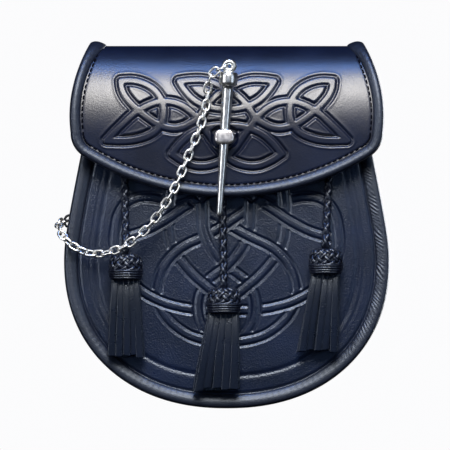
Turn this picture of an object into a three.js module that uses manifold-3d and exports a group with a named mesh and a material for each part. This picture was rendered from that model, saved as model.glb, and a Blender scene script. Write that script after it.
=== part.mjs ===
import * as THREE from 'three';
import { mergeVertices } from 'three/addons/utils/BufferGeometryUtils.js';
import Module from 'manifold-3d';

// A leather dress pouch that hangs on a belt: a back panel, a shaped front panel and a folding side
// strip make the bag, and a wide flap folds over its top and is held by a peg through a metal stud.
// X is to the right, Y runs from the front to the back and Z is up, all in millimetres.
// The origin is midway between the two belt loops, on the rear face of the back panel.

const wasm = await Module();
wasm.setup();

// Clearances
const GAP = 0.3;
const STUD_PLAY = 0.9;

// Leather
const PANEL_T = 2.4;
const FLAP_T = 2.2;
const GUSSET_T = 1.8;
const EDGING_T = 1.4;
const LOOP_T = 2.6;

// Bag outline, seen from the front
const BODY_HALF_W = 89.7;
const BODY_WIDEST_Z = -75.9;
const BODY_LOWER_H = 81.7;
const BODY_LOWER_POWER = 2.2;
const BODY_TAPER = 0.205;
const BODY_TAPER_EASE = 15;
const MOUTH_Z = 17;

// Bag depth
const MOUTH_DEPTH = 26;
const BASE_DEPTH = 36;
const FRONT_DOME = 2;
const GUSSET_FOLD = 5.5;
const GUSSET_INSET = 3.4;

// Edge rolls
const FRONT_ROLL_W = 7.7;
const BACK_ROLL_W = 7;
const FLAP_ROLL_W = 5.6;
const ROLL_SWELL = 1.0;

// Flap, seen from the front
const FLAP_TOP_Z = 42.35;
const FLAP_HALF_W = 86.6;
const FLAP_WIDEST_Z = 3.6;
const FLAP_TAPER = 0.00693;
const FLAP_BOTTOM_Z = -41.25;
const FLAP_BOW_R = 150;
const FLAP_CORNER_R = 15;

// Flap, seen from the side
const FLAP_FRONT_Y = -39.5;
const FLAP_CROWN = 2.5;
const FLAP_BEND_Z = -8.4;
const FOLD_TOP_Y = -12;
const FOLD_BACK_Z = 31;
const LAP_H = 6.5;
const LAP_INSET = 8.6;

// Belt loops
const LOOP_W = 24;
const LOOP_SLOT_H = 33;
const LOOP_SLOT_D = 6;
const LOOP_FOOT_H = 7.5;
const LOOP_SPACING = 76;

// Stud
const STUD_X = -1.3;
const STUD_Z = -8.25;
const STUD_W = 10.7;
const STUD_H = 8.2;
const STUD_CORNER_R = 3;
const STUD_PROUD = 10;
const STUD_EDGE_R = 1.1;

// Peg
const PEG_TOP_D = 6.2;
const PEG_TIP_D = 2.8;
const PEG_LENGTH = 71.5;
const PEG_ABOVE_STUD = 28;
const PEG_LEAN = 3.8;
const PEG_PLAY = 0.35;
const COLLAR_W = 10.3;
const COLLAR_H = 8;
const COLLAR_EDGE_R = 1.6;
const EYE_R = 3.1;
const EYE_WIRE = 2;
const EYE_SINK = 0.3;

// Chain
const LINK_LENGTH = 7.6;
const LINK_WIDTH = 5.3;
const LINK_WIRE = 1.15;
const LINK_PITCH = 4.88;
const STAPLE_WIRE = 1.6;
const STAPLE_SPAN = 6.4;
const STAPLE_PLATE_H = 12;
const STAPLE_PLATE_W = 5;
const STAPLE_PLATE_T = 1.2;

// Tassels
const BRAID_D = 4.7;
const KNOT_D = 18.9;
const KNOT_DEPTH = 15;
const KNOT_H = 14;
const SKIRT_H = 43;
const SKIRT_STRIPS = 5;
const SKIRT_CORE_T = 5;
const STRIP_T = 2.2;
const STRIP_SLIT = 1;

// The chain's route from the peg's eye, over the flap, past the left edge and back to the bag's side.
// Each turn is the links' roll about the chain, in degrees.
const CHAIN_ROUTE = [
  { x: -2.7, y: -47.0, z: 29.7, turn: 90 },
  { x: -6.9, y: -46.9, z: 27.3, turn: 86 },
  { x: -9.3, y: -46.0, z: 24.0, turn: 78 },
  { x: -10.4, y: -44.7, z: 18.8, turn: 70 },
  { x: -10.9, y: -43.9, z: 12.0, turn: 64 },
  { x: -12.4, y: -44.3, z: 5.0, turn: 62 },
  { x: -14.6, y: -45.0, z: -2.4, turn: 62 },
  { x: -17.6, y: -45.4, z: -10.4, turn: 62 },
  { x: -21.2, y: -45.4, z: -18.7, turn: 63 },
  { x: -24.9, y: -46.0, z: -27.7, turn: 68 },
  { x: -28.8, y: -47.5, z: -36.6, turn: 80 },
  { x: -33.4, y: -47.8, z: -44.6, turn: 90 },
  { x: -41.0, y: -46.9, z: -55.3, turn: 86 },
  { x: -48.2, y: -46.5, z: -62.6, turn: 78 },
  { x: -57.0, y: -45.9, z: -68.6, turn: 68 },
  { x: -67.6, y: -42.8, z: -72.2, turn: 56 },
  { x: -76.8, y: -39.8, z: -71.8, turn: 46 },
  { x: -84.6, y: -38.0, z: -68.0, turn: 40 },
  { x: -90.0, y: -35.6, z: -62.8, turn: 37 },
  { x: -92.3, y: -30.6, z: -58.2, turn: 35 },
  { x: -91.9, y: -24.6, z: -55.6, turn: 34 },
  { x: -89.9, y: -18.6, z: -54.6, turn: 33 },
];

// The tassels. A braid runs from its top to the knot, and the skirt's half-width grows from narrow
// to wide as its foot swings to the side.
const TASSELS = [
  { name: 'left', topX: -56.3, topZ: -24, x: -55.6, knotZ: -72.6, narrow: 7.6, wide: 10.4, swing: 0.4 },
  { name: 'centre', topX: -2.6, topZ: -26, x: -1.6, knotZ: -91, narrow: 8.4, wide: 13.4, swing: -4.4 },
  { name: 'right', topX: 56.6, topZ: -24, x: 54.4, knotZ: -69.5, narrow: 7.6, wide: 11.4, swing: -4.6 },
];

const LEATHER = { color: 0x14161c, roughness: 0.42, metalness: 0 };
const EDGE_LEATHER = { color: 0x101217, roughness: 0.36, metalness: 0 };
const METAL = { color: 0xc9c9cc, roughness: 0.22, metalness: 1 };

const object = new THREE.Group();

function add(name, geometry, material) {
  const mesh = new THREE.Mesh(geometry, new THREE.MeshStandardMaterial(material));
  mesh.name = name;
  object.add(mesh);
  return mesh;
}

// One closed geometry from shared points, without the faces that have no area.
function closed(points, faces) {
  const raw = new THREE.BufferGeometry();
  raw.setAttribute('position', new THREE.Float32BufferAttribute(points.flatMap((p) => [p.x, p.y, p.z]), 3));
  raw.setIndex(faces.flat());
  const merged = mergeVertices(raw, 1e-4);
  const kept = [];
  for (let i = 0; i < merged.index.count; i += 3) {
    const face = [0, 1, 2].map((k) => merged.index.getX(i + k));
    if (new Set(face).size === 3) kept.push(...face);
  }
  merged.setIndex(kept);
  merged.computeVertexNormals();
  return merged;
}

function welded(geometry) {
  const bare = geometry.clone();
  bare.deleteAttribute('normal');
  bare.deleteAttribute('uv');
  return mergeVertices(bare, 1e-4);
}

function solidOf(geometry) {
  const bare = welded(geometry);
  const vertProperties = new Float32Array(bare.attributes.position.array);
  const triVerts = new Uint32Array(bare.index.array);
  return new wasm.Manifold(new wasm.Mesh({ numProp: 3, vertProperties, triVerts }));
}

function geometryOf(solid) {
  const mesh = solid.getMesh();
  const geometry = new THREE.BufferGeometry();
  geometry.setAttribute('position', new THREE.Float32BufferAttribute(mesh.vertProperties, 3));
  geometry.setIndex(new THREE.Uint32BufferAttribute(mesh.triVerts, 1));
  geometry.computeVertexNormals();
  return geometry;
}

// A closed strip through stations that each hold the same ring of points. The flat section gives the
// end caps, and a loop has none.
function strip(stations, section, loop = false) {
  const count = section.length;
  const faces = [];
  const spans = loop ? stations.length : stations.length - 1;
  for (let i = 0; i < spans; i += 1) {
    const here = i * count;
    const next = ((i + 1) % stations.length) * count;
    for (let k = 0; k < count; k += 1) {
      const m = (k + 1) % count;
      faces.push([here + k, next + k, next + m], [here + k, next + m, here + m]);
    }
  }
  if (!loop) {
    const end = (stations.length - 1) * count;
    const ringTurns = Math.sign(THREE.ShapeUtils.area(section));
    for (const [a, b, c] of THREE.ShapeUtils.triangulateShape(section, [])) {
      const turns = Math.sign(THREE.ShapeUtils.area([section[a], section[b], section[c]]));
      const cap = turns === ringTurns ? [a, b, c] : [c, b, a];
      faces.push(cap, [end + cap[2], end + cap[1], end + cap[0]]);
    }
  }
  return closed(stations.flat(), faces);
}

function outward(geometry) {
  const p = geometry.attributes.position;
  const index = geometry.index;
  const [a, b, c] = [new THREE.Vector3(), new THREE.Vector3(), new THREE.Vector3()];
  let volume = 0;
  for (let i = 0; i < index.count; i += 3) {
    a.fromBufferAttribute(p, index.getX(i));
    b.fromBufferAttribute(p, index.getX(i + 1));
    c.fromBufferAttribute(p, index.getX(i + 2));
    volume += a.dot(b.cross(c));
  }
  if (volume < 0) {
    for (let i = 0; i < index.count; i += 3) {
      const first = index.getX(i);
      index.setX(i, index.getX(i + 2));
      index.setX(i + 2, first);
    }
    geometry.computeVertexNormals();
  }
  return geometry;
}

// Points of an outline moved sideways, to the left of the way they run.
function moved(points, distance) {
  return points.map((p, i) => {
    const before = points[Math.max(i - 1, 0)];
    const after = points[Math.min(i + 1, points.length - 1)];
    const along = new THREE.Vector2().subVectors(after, before).normalize();
    return new THREE.Vector2(p.x - along.y * distance, p.y + along.x * distance);
  });
}

function bodyHalfWidth(z) {
  const rise = z - BODY_WIDEST_Z;
  return BODY_HALF_W - BODY_TAPER * (Math.hypot(rise, BODY_TAPER_EASE) - BODY_TAPER_EASE);
}

// The bag's edge on the left, from the given height down to the lowest point, then up on the right.
function bodyEdge(topZ, inset) {
  const right = [];
  const sideSteps = 8;
  const bowlSteps = 17;
  for (let i = 0; i < bowlSteps; i += 1) {
    const angle = (Math.PI / 2) * (1 - i / bowlSteps);
    const x = BODY_HALF_W * Math.cos(angle) ** (2 / BODY_LOWER_POWER);
    const z = BODY_WIDEST_Z - BODY_LOWER_H * Math.sin(angle) ** (2 / BODY_LOWER_POWER);
    right.push(new THREE.Vector2(i === 0 ? 0 : x, z));
  }
  for (let i = 0; i <= sideSteps; i += 1) {
    const z = THREE.MathUtils.lerp(BODY_WIDEST_Z, topZ, i / sideSteps);
    right.push(new THREE.Vector2(bodyHalfWidth(z), z));
  }
  const left = right.slice(1).reverse().map((p) => new THREE.Vector2(-p.x, p.y));
  const edge = moved([...left, ...right], inset);
  edge[0].y = topZ;
  edge[edge.length - 1].y = topZ;
  return edge;
}

// The front panel's outer face leans forward towards its base and swells a little in the middle.
function frontFace(x, z) {
  const baseZ = BODY_WIDEST_Z - BODY_LOWER_H;
  const down = (MOUTH_Z - z) / (MOUTH_Z - baseZ);
  const middleZ = (MOUTH_Z + baseZ) / 2;
  const across = (x / (BODY_HALF_W - FRONT_ROLL_W)) ** 2;
  const along = ((z - middleZ) / (MOUTH_Z - middleZ - FRONT_ROLL_W)) ** 2;
  const swell = FRONT_DOME * Math.max(0, 1 - across - along);
  return -THREE.MathUtils.lerp(MOUTH_DEPTH, BASE_DEPTH, down) - swell;
}

// A sheet between an outer face and the same face moved back, over rows that run side to side.
function rowSheet(rows, columns, place) {
  const points = [];
  const faces = [];
  const side = rows.length * (columns + 1);
  for (const layer of [0, 1]) {
    for (const row of rows) {
      for (let k = 0; k <= columns; k += 1) {
        points.push(place((2 * k / columns - 1) * row.x, row.y, layer));
      }
    }
  }
  const at = (layer, i, k) => layer * side + i * (columns + 1) + k;
  for (let i = 0; i < rows.length - 1; i += 1) {
    for (let k = 0; k < columns; k += 1) {
      const outer = [at(0, i, k), at(0, i + 1, k), at(0, i + 1, k + 1), at(0, i, k + 1)];
      const inner = [at(1, i, k), at(1, i + 1, k), at(1, i + 1, k + 1), at(1, i, k + 1)];
      faces.push([outer[0], outer[1], outer[2]], [outer[0], outer[2], outer[3]]);
      faces.push([inner[0], inner[2], inner[1]], [inner[0], inner[3], inner[2]]);
    }
    for (const k of [0, columns]) {
      const quad = [at(0, i, k), at(1, i, k), at(1, i + 1, k), at(0, i + 1, k)];
      if (k === 0) faces.push([quad[0], quad[1], quad[2]], [quad[0], quad[2], quad[3]]);
      else faces.push([quad[0], quad[2], quad[1]], [quad[0], quad[3], quad[2]]);
    }
  }
  const last = rows.length - 1;
  for (let k = 0; k < columns; k += 1) {
    faces.push([at(0, 0, k), at(0, 0, k + 1), at(1, 0, k + 1)], [at(0, 0, k), at(1, 0, k + 1), at(1, 0, k)]);
    faces.push([at(0, last, k), at(1, last, k), at(1, last, k + 1)]);
    faces.push([at(0, last, k), at(1, last, k + 1), at(0, last, k + 1)]);
  }
  return outward(closed(points, faces));
}

// The rolled edging's section: x runs inwards from the outer edge and y across the leather.
function rollSection(width, sheetT) {
  const inner = sheetT / 2 + GAP;
  const outer = inner + EDGING_T;
  const swell = outer + ROLL_SWELL;
  return [
    new THREE.Vector2(width, inner),
    new THREE.Vector2(width, outer),
    new THREE.Vector2(width * 0.45, swell),
    new THREE.Vector2(0, outer * 0.45),
    new THREE.Vector2(0, -outer * 0.45),
    new THREE.Vector2(width * 0.45, -swell),
    new THREE.Vector2(width, -outer),
    new THREE.Vector2(width, -inner),
    new THREE.Vector2(EDGING_T, -inner),
    new THREE.Vector2(EDGING_T, inner),
  ];
}

// Edging along a line of edge points: each has its place, the way inwards and the way out of the face.
function edging(line, section) {
  const stations = line.map(({ place, inwards, out }) =>
    section.map((p) => place.clone().addScaledVector(inwards, p.x).addScaledVector(out, p.y)));
  return outward(strip(stations, section));
}

// A panel's edge line, on the middle of its leather.
function panelLine(edge, middle) {
  const inner = moved(edge, 1);
  const onMiddle = (p) => new THREE.Vector3(p.x, middle(p.x, p.y), p.y);
  return edge.map((p, i) => ({
    place: onMiddle(p),
    inwards: onMiddle(inner[i]).sub(onMiddle(p)),
    out: new THREE.Vector3(0, -1, 0),
  }));
}

function rightHalf(edge) {
  return edge.slice((edge.length - 1) / 2);
}

const edgeInset = EDGING_T + GAP;

function backPanel() {
  const rows = rightHalf(bodyEdge(FOLD_BACK_Z - 2 * GAP, edgeInset));
  const columns = 2;
  return rowSheet(rows, columns, (x, z, layer) => new THREE.Vector3(x, -PANEL_T * (1 - layer), z));
}

function frontPanel() {
  const rows = rightHalf(bodyEdge(MOUTH_Z, edgeInset));
  const columns = 8;
  return rowSheet(rows, columns, (x, z, layer) =>
    new THREE.Vector3(x, frontFace(x, z) + PANEL_T * layer, z));
}

function frontEdging() {
  const middle = (x, z) => frontFace(x, z) + PANEL_T / 2;
  return edging(panelLine(bodyEdge(MOUTH_Z, 0), middle), rollSection(FRONT_ROLL_W, PANEL_T));
}

function backEdging() {
  const topZ = FOLD_BACK_Z - 2 * GAP;
  return edging(panelLine(bodyEdge(topZ, 0), () => -PANEL_T / 2), rollSection(BACK_ROLL_W, PANEL_T));
}

// Where the side strip's two edges lie, between the two panels' edgings.
function gussetSpan(x, z) {
  const clear = EDGING_T + ROLL_SWELL + 2.5 * GAP;
  return { rear: -PANEL_T - clear, front: frontFace(x, z) + PANEL_T + clear };
}

// The side strip: a leather band folded inwards along its middle.
function gusset() {
  const edge = bodyEdge(MOUTH_Z, GUSSET_INSET);
  const inner = moved(edge, 1);
  const section = [
    { in: 0, across: 0 },
    { in: GUSSET_FOLD, across: 0.5 },
    { in: 0, across: 1 },
    { in: GUSSET_T, across: 1 },
    { in: GUSSET_FOLD + GUSSET_T, across: 0.5 },
    { in: GUSSET_T, across: 0 },
  ];
  const stations = edge.map((p, i) => {
    const { rear, front } = gussetSpan(p.x, p.y);
    return section.map((c) => new THREE.Vector3(
      p.x + (inner[i].x - p.x) * c.in,
      THREE.MathUtils.lerp(rear, front, c.across),
      p.y + (inner[i].y - p.y) * c.in,
    ));
  });
  const flatSection = section.map((c) => new THREE.Vector2(c.in, c.across * MOUTH_DEPTH));
  return outward(strip(stations, flatSection));
}

function gussetHalfWidth(y, z) {
  const { rear, front } = gussetSpan(BODY_HALF_W, z);
  const fromMiddle = Math.abs(2 * (y - rear) / (front - rear) - 1);
  return bodyHalfWidth(z) - GUSSET_INSET - GUSSET_FOLD * (1 - fromMiddle);
}

// The flap's outer face in profile, from the foot of its rear lap, over the top and down the front.
const FLAP_OUTER_Y = GAP + FLAP_T;
const flapProfile = new THREE.CurvePath();
const foldBack = new THREE.Vector2(FLAP_OUTER_Y, FOLD_BACK_Z);
const bend = new THREE.Vector2(FLAP_FRONT_Y, FLAP_BEND_Z);
flapProfile.add(new THREE.LineCurve(new THREE.Vector2(FLAP_OUTER_Y, FOLD_BACK_Z - LAP_H), foldBack));
flapProfile.add(new THREE.EllipseCurve(
  FOLD_TOP_Y, FOLD_BACK_Z, FLAP_OUTER_Y - FOLD_TOP_Y, FLAP_TOP_Z - FOLD_BACK_Z, 0, Math.PI / 2,
));
flapProfile.add(new THREE.EllipseCurve(
  FOLD_TOP_Y, FLAP_BEND_Z, FOLD_TOP_Y - FLAP_FRONT_Y, FLAP_TOP_Z - FLAP_BEND_Z, Math.PI / 2, Math.PI,
));
flapProfile.add(new THREE.LineCurve(bend, new THREE.Vector2(FLAP_FRONT_Y, FLAP_BOTTOM_Z)));
const flapSpans = flapProfile.getCurveLengths();
const [LAP_END, REAR_END, BEND_END, FLAP_END] = flapSpans;

function flapHalfWidth(z) {
  return FLAP_HALF_W - FLAP_TAPER * (z - FLAP_WIDEST_Z) ** 2;
}

// A place on the flap's outer face: x across, s along the profile, and the way out of the face there.
function flapAt(x, s) {
  const t = THREE.MathUtils.clamp(s / FLAP_END, 0, 1);
  const p = flapProfile.getPointAt(t);
  const tangent = flapProfile.getTangentAt(t);
  const rise = THREE.MathUtils.smoothstep(s, REAR_END, BEND_END);
  const crown = FLAP_CROWN * rise * Math.max(0, 1 - (x / FLAP_HALF_W) ** 2);
  const out = new THREE.Vector3(0, tangent.y, -tangent.x);
  return { place: new THREE.Vector3(x, p.x - crown, p.y), out };
}

// The arc length on the front of the flap at a given height.
function flapLengthAt(z) {
  let low = REAR_END;
  let high = FLAP_END;
  for (let i = 0; i < 40; i += 1) {
    const mid = (low + high) / 2;
    if (flapProfile.getPointAt(mid / FLAP_END).y > z) low = mid;
    else high = mid;
  }
  return (low + high) / 2;
}

// The lower corner: an arc that meets the side and the bowed bottom edge.
function flapLowerEdge() {
  const bowCentreZ = FLAP_BOTTOM_Z + FLAP_BOW_R;
  const cornerX = FLAP_HALF_W - FLAP_CORNER_R;
  const cornerZ = bowCentreZ - Math.sqrt((FLAP_BOW_R - FLAP_CORNER_R) ** 2 - cornerX ** 2);
  const points = [];
  const cornerSteps = 5;
  const bowSteps = 7;
  const meets = Math.atan2(cornerX, bowCentreZ - cornerZ);
  for (let i = 0; i <= cornerSteps; i += 1) {
    const angle = THREE.MathUtils.lerp(Math.PI / 2, meets, i / cornerSteps);
    const out = new THREE.Vector2(Math.sin(angle), -Math.cos(angle));
    points.push(new THREE.Vector2(cornerX, cornerZ).addScaledVector(out, FLAP_CORNER_R));
  }
  for (let i = 1; i <= bowSteps; i += 1) {
    const angle = meets * (1 - i / bowSteps);
    points.push(new THREE.Vector2(FLAP_BOW_R * Math.sin(angle), bowCentreZ - FLAP_BOW_R * Math.cos(angle)));
  }
  return points;
}

// The flap's right edge as x across and y along the profile, from the top of the lap to the bottom.
function flapRightEdge() {
  const edge = [];
  const rearSteps = 4;
  const foldSteps = 7;
  const rearWidth = bodyHalfWidth(FOLD_BACK_Z);
  const topWidth = flapHalfWidth(FLAP_TOP_Z);
  for (let i = 0; i < rearSteps; i += 1) {
    const share = i / rearSteps;
    const s = THREE.MathUtils.lerp(LAP_END, REAR_END, share);
    edge.push(new THREE.Vector2(THREE.MathUtils.lerp(rearWidth, topWidth, share), s));
  }
  const lower = flapLowerEdge();
  for (let i = 0; i < foldSteps; i += 1) {
    const angle = (Math.PI / 2) * (1 - i / foldSteps);
    const z = FLAP_BEND_Z + (FLAP_TOP_Z - FLAP_BEND_Z) * Math.sin(angle);
    if (z > lower[0].y + FLAP_CORNER_R / 4) edge.push(new THREE.Vector2(flapHalfWidth(z), flapLengthAt(z)));
  }
  for (const p of lower) edge.push(new THREE.Vector2(p.x, flapLengthAt(p.y)));
  edge[edge.length - 1].y = FLAP_END;
  return edge;
}

function flapEdge(inset) {
  const right = flapRightEdge();
  const left = right.slice(0, -1).map((p) => new THREE.Vector2(-p.x, -p.y));
  const whole = [...left, ...right.slice().reverse().map((p) => new THREE.Vector2(p.x, -p.y))];
  const inner = moved(whole, inset);
  inner[0].y = whole[0].y;
  inner[inner.length - 1].y = whole[0].y;
  return inner.map((p) => new THREE.Vector2(p.x, -p.y));
}

function flapSheet() {
  const edge = flapEdge(edgeInset);
  const rows = edge.slice((edge.length - 1) / 2).reverse();
  rows[rows.length - 1].x = 0;
  const lapHalfW = rows[0].x - LAP_INSET;
  rows.unshift(new THREE.Vector2(lapHalfW, 0), new THREE.Vector2(lapHalfW, LAP_END - GAP * 2));
  const columns = 8;
  const sheet = rowSheet(rows, columns, (x, s, layer) => {
    const { place, out } = flapAt(x, s);
    return place.addScaledVector(out, -FLAP_T * layer);
  });
  return sheet;
}

function flapEdging() {
  const outer = flapEdge(0);
  const inner = flapEdge(1);
  const line = outer.map((p, i) => {
    const { place, out } = flapAt(p.x, p.y);
    const inwards = flapAt(inner[i].x, inner[i].y).place.sub(place).normalize();
    place.addScaledVector(out, -FLAP_T / 2);
    return { place, inwards, out };
  });
  return edging(line, rollSection(FLAP_ROLL_W, FLAP_T));
}

function roundedRectangle(width, height, radius) {
  const [x, y] = [width / 2, height / 2];
  const shape = new THREE.Shape();
  shape.moveTo(x, -y + radius);
  shape.lineTo(x, y - radius);
  shape.absarc(x - radius, y - radius, radius, 0, Math.PI / 2);
  shape.lineTo(-x + radius, y);
  shape.absarc(-x + radius, y - radius, radius, Math.PI / 2, Math.PI);
  shape.lineTo(-x, -y + radius);
  shape.absarc(-x + radius, -y + radius, radius, Math.PI, 1.5 * Math.PI);
  shape.lineTo(x - radius, -y);
  shape.absarc(x - radius, -y + radius, radius, 1.5 * Math.PI, 2 * Math.PI);
  return shape;
}

// The stud's face stands in front of the flap, and its block runs back to the front panel.
const flapMiddleY = flapAt(STUD_X, flapLengthAt(STUD_Z)).place.y;
const STUD_FRONT_Y = flapMiddleY - STUD_PROUD;
const PEG_Y = STUD_FRONT_Y + STUD_PROUD / 2;

function studBlock(width, height, depth, bevel) {
  const face = roundedRectangle(width - 2 * bevel, height - 2 * bevel, STUD_CORNER_R - bevel);
  const geometry = new THREE.ExtrudeGeometry(face, {
    depth: depth - 2 * bevel,
    bevelEnabled: bevel > 0,
    bevelThickness: bevel,
    bevelSize: bevel,
    bevelSegments: 1,
    curveSegments: 3,
  });
  geometry.translate(0, 0, bevel);
  geometry.rotateX(Math.PI / 2);
  return geometry;
}

// The peg's own frame: its axis leans, with the middle of the stud at its origin.
function onPegAxis(geometry) {
  geometry.rotateY(THREE.MathUtils.degToRad(PEG_LEAN));
  geometry.translate(STUD_X, PEG_Y, STUD_Z);
  return geometry;
}

function pegRadius(z) {
  const top = PEG_ABOVE_STUD;
  const share = (top - z) / PEG_LENGTH;
  return THREE.MathUtils.lerp(PEG_TOP_D, PEG_TIP_D, share) / 2;
}

function stud() {
  const rearY = frontFace(STUD_X, STUD_Z - STUD_H / 2) - GAP;
  const block = studBlock(STUD_W, STUD_H, rearY - STUD_FRONT_Y, STUD_EDGE_R);
  block.translate(STUD_X, rearY, STUD_Z);
  const reach = STUD_H;
  const bore = new THREE.CylinderGeometry(
    pegRadius(reach) + PEG_PLAY, pegRadius(-reach) + PEG_PLAY, 2 * reach, 12,
  );
  bore.rotateX(Math.PI / 2);
  return geometryOf(solidOf(block).subtract(solidOf(onPegAxis(bore))));
}

function flap() {
  const hole = studBlock(STUD_W + 2 * STUD_PLAY, STUD_H + 2 * STUD_PLAY, FLAP_T * 6, 0);
  hole.translate(STUD_X, flapMiddleY + FLAP_T * 3, STUD_Z);
  return geometryOf(solidOf(flapSheet()).subtract(solidOf(hole)));
}

// The peg is a tapered pin with a barrel collar and an eye for the chain on top.
function peg() {
  const collarR = COLLAR_W / 2;
  const top = PEG_ABOVE_STUD;
  const profile = [
    [0, top - PEG_LENGTH],
    [PEG_TIP_D * 0.3, top - PEG_LENGTH],
    [PEG_TIP_D / 2, top - PEG_LENGTH + PEG_TIP_D / 2],
    [PEG_TOP_D / 2, top],
    [collarR - COLLAR_EDGE_R, top],
    [collarR, top + COLLAR_EDGE_R],
    [collarR, top + COLLAR_H - COLLAR_EDGE_R],
    [collarR - COLLAR_EDGE_R, top + COLLAR_H],
    [0, top + COLLAR_H],
  ].map(([r, z]) => new THREE.Vector2(r, z));
  const pin = new THREE.LatheGeometry(profile, 12);
  pin.rotateX(Math.PI / 2);
  const eye = new THREE.TorusGeometry(EYE_R, EYE_WIRE / 2, 6, 12);
  eye.rotateX(Math.PI / 2);
  eye.translate(0, 0, top + COLLAR_H + EYE_R + EYE_WIRE / 2 - EYE_SINK);
  return onPegAxis(geometryOf(solidOf(outward(welded(pin))).add(solidOf(outward(welded(eye))))));
}

// One oval link at its middle, long along the chain and wide along its side, rolled about the chain.
function link({ middle, along, side, roll }) {
  const wireR = LINK_WIRE / 2;
  const straight = LINK_LENGTH - LINK_WIDTH;
  const bendR = (LINK_WIDTH - LINK_WIRE) / 2;
  const arcSteps = 5;
  const sides = 5;
  const section = [];
  for (let k = 0; k < sides; k += 1) {
    const angle = (2 * Math.PI * k) / sides;
    section.push(new THREE.Vector2(Math.cos(angle) * wireR, Math.sin(angle) * wireR));
  }
  const stations = [];
  for (const end of [1, -1]) {
    for (let i = 0; i < arcSteps; i += 1) {
      const angle = Math.PI * (i / (arcSteps - 1) - 0.5);
      const out = new THREE.Vector3(end * Math.cos(angle), end * Math.sin(angle), 0);
      const centre = new THREE.Vector3(end * straight / 2, 0, 0).addScaledVector(out, bendR);
      stations.push(section.map((p) => centre.clone().addScaledVector(out, p.x).setZ(p.y)));
    }
  }
  const geometry = outward(strip(stations, section, true));
  const wide = side.clone().applyAxisAngle(along, THREE.MathUtils.degToRad(roll));
  const face = new THREE.Vector3().crossVectors(along, wide);
  return geometry.applyMatrix4(new THREE.Matrix4().makeBasis(along, wide, face).setPosition(middle));
}

// Links follow the route about one pitch apart, each turned a quarter from the last.
function chainLinks() {
  const curve = new THREE.CatmullRomCurve3(
    CHAIN_ROUTE.map((p) => new THREE.Vector3(p.x, p.y, p.z)), false, 'centripetal',
  );
  curve.arcLengthDivisions = 800;
  const total = curve.getLength();
  const last = Math.round(total / LINK_PITCH);
  const half = 0.5 / last;
  const links = [];
  const side = new THREE.Vector3().crossVectors(new THREE.Vector3(0, -1, 0), curve.getTangentAt(0));
  for (let i = 0; i <= last; i += 1) {
    const t = i / last;
    const before = curve.getPointAt(Math.max(0, t - half));
    const after = curve.getPointAt(Math.min(1, t + half));
    const along = after.clone().sub(before).normalize();
    side.addScaledVector(along, -side.dot(along)).normalize();
    const row = curve.getUtoTmapping(t) * (CHAIN_ROUTE.length - 1);
    const from = CHAIN_ROUTE[Math.floor(row)];
    const to = CHAIN_ROUTE[Math.min(Math.floor(row) + 1, CHAIN_ROUTE.length - 1)];
    const turn = THREE.MathUtils.lerp(from.turn, to.turn, row % 1);
    links.push({ middle: curve.getPointAt(t), along, side: side.clone(), roll: turn + (i % 2) * 90 });
  }
  return links;
}

// A wire staple on the bag's side, with its upright bar through the last link.
function chainStaple() {
  const [before, end] = CHAIN_ROUTE.slice(-2).map((p) => new THREE.Vector3(p.x, p.y, p.z));
  const wireR = STAPLE_WIRE / 2;
  const lead = end.clone().sub(before).setZ(0).normalize();
  const bar = end.clone().addScaledVector(lead, LINK_LENGTH / 2 - LINK_WIRE - wireR - GAP);
  const plateEdges = [bar.y - STAPLE_PLATE_W / 2, bar.y + STAPLE_PLATE_W / 2];
  const seat = Math.max(...plateEdges.map((y) => gussetHalfWidth(y, end.z - STAPLE_PLATE_H / 2)));
  const plateX = -seat - GAP - STAPLE_PLATE_T / 2;
  const plate = new THREE.BoxGeometry(STAPLE_PLATE_T, STAPLE_PLATE_W, STAPLE_PLATE_H);
  plate.translate(plateX, bar.y, end.z);
  const leg = STAPLE_SPAN / 2;
  const path = new THREE.CatmullRomCurve3([
    { x: plateX, rise: leg },
    { x: bar.x + leg / 2, rise: leg },
    { x: bar.x, rise: leg / 2 },
    { x: bar.x, rise: -leg / 2 },
    { x: bar.x + leg / 2, rise: -leg },
    { x: plateX, rise: -leg },
  ].map((p) => new THREE.Vector3(p.x, bar.y, end.z + p.rise)), false, 'centripetal');
  return geometryOf(solidOf(plate).add(solidOf(tube(path, wireR, 6, 12))));
}

function tube(path, radius, sides, steps) {
  const shape = new THREE.Shape();
  for (let k = 0; k < sides; k += 1) {
    const angle = (2 * Math.PI * k) / sides;
    const point = [Math.cos(angle) * radius, Math.sin(angle) * radius];
    if (k === 0) shape.moveTo(...point);
    else shape.lineTo(...point);
  }
  const geometry = new THREE.ExtrudeGeometry(shape, { steps, extrudePath: path, curveSegments: 1 });
  return outward(welded(geometry));
}

// How far forward a tassel's knot hangs: just clear of the panel behind its foot.
function knotY({ x, knotZ }) {
  return frontFace(x, knotZ - KNOT_H) - 2 * GAP - KNOT_DEPTH / 2;
}

function braid(tassel) {
  const radius = BRAID_D / 2;
  const rise = tassel.topZ - tassel.knotZ;
  const onPanel = (x, z) => new THREE.Vector3(x, frontFace(x, z) - 2 * GAP - radius, z);
  const foot = new THREE.Vector3(tassel.x, knotY(tassel), tassel.knotZ + GAP);
  const path = new THREE.CatmullRomCurve3([
    onPanel(tassel.topX, tassel.topZ),
    onPanel(THREE.MathUtils.lerp(tassel.topX, tassel.x, 0.3), tassel.topZ - 0.3 * rise),
    new THREE.Vector3(tassel.x, foot.y, foot.z + BRAID_D),
    foot,
  ], false, 'centripetal');
  return tube(path, radius, 8, 6);
}

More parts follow.
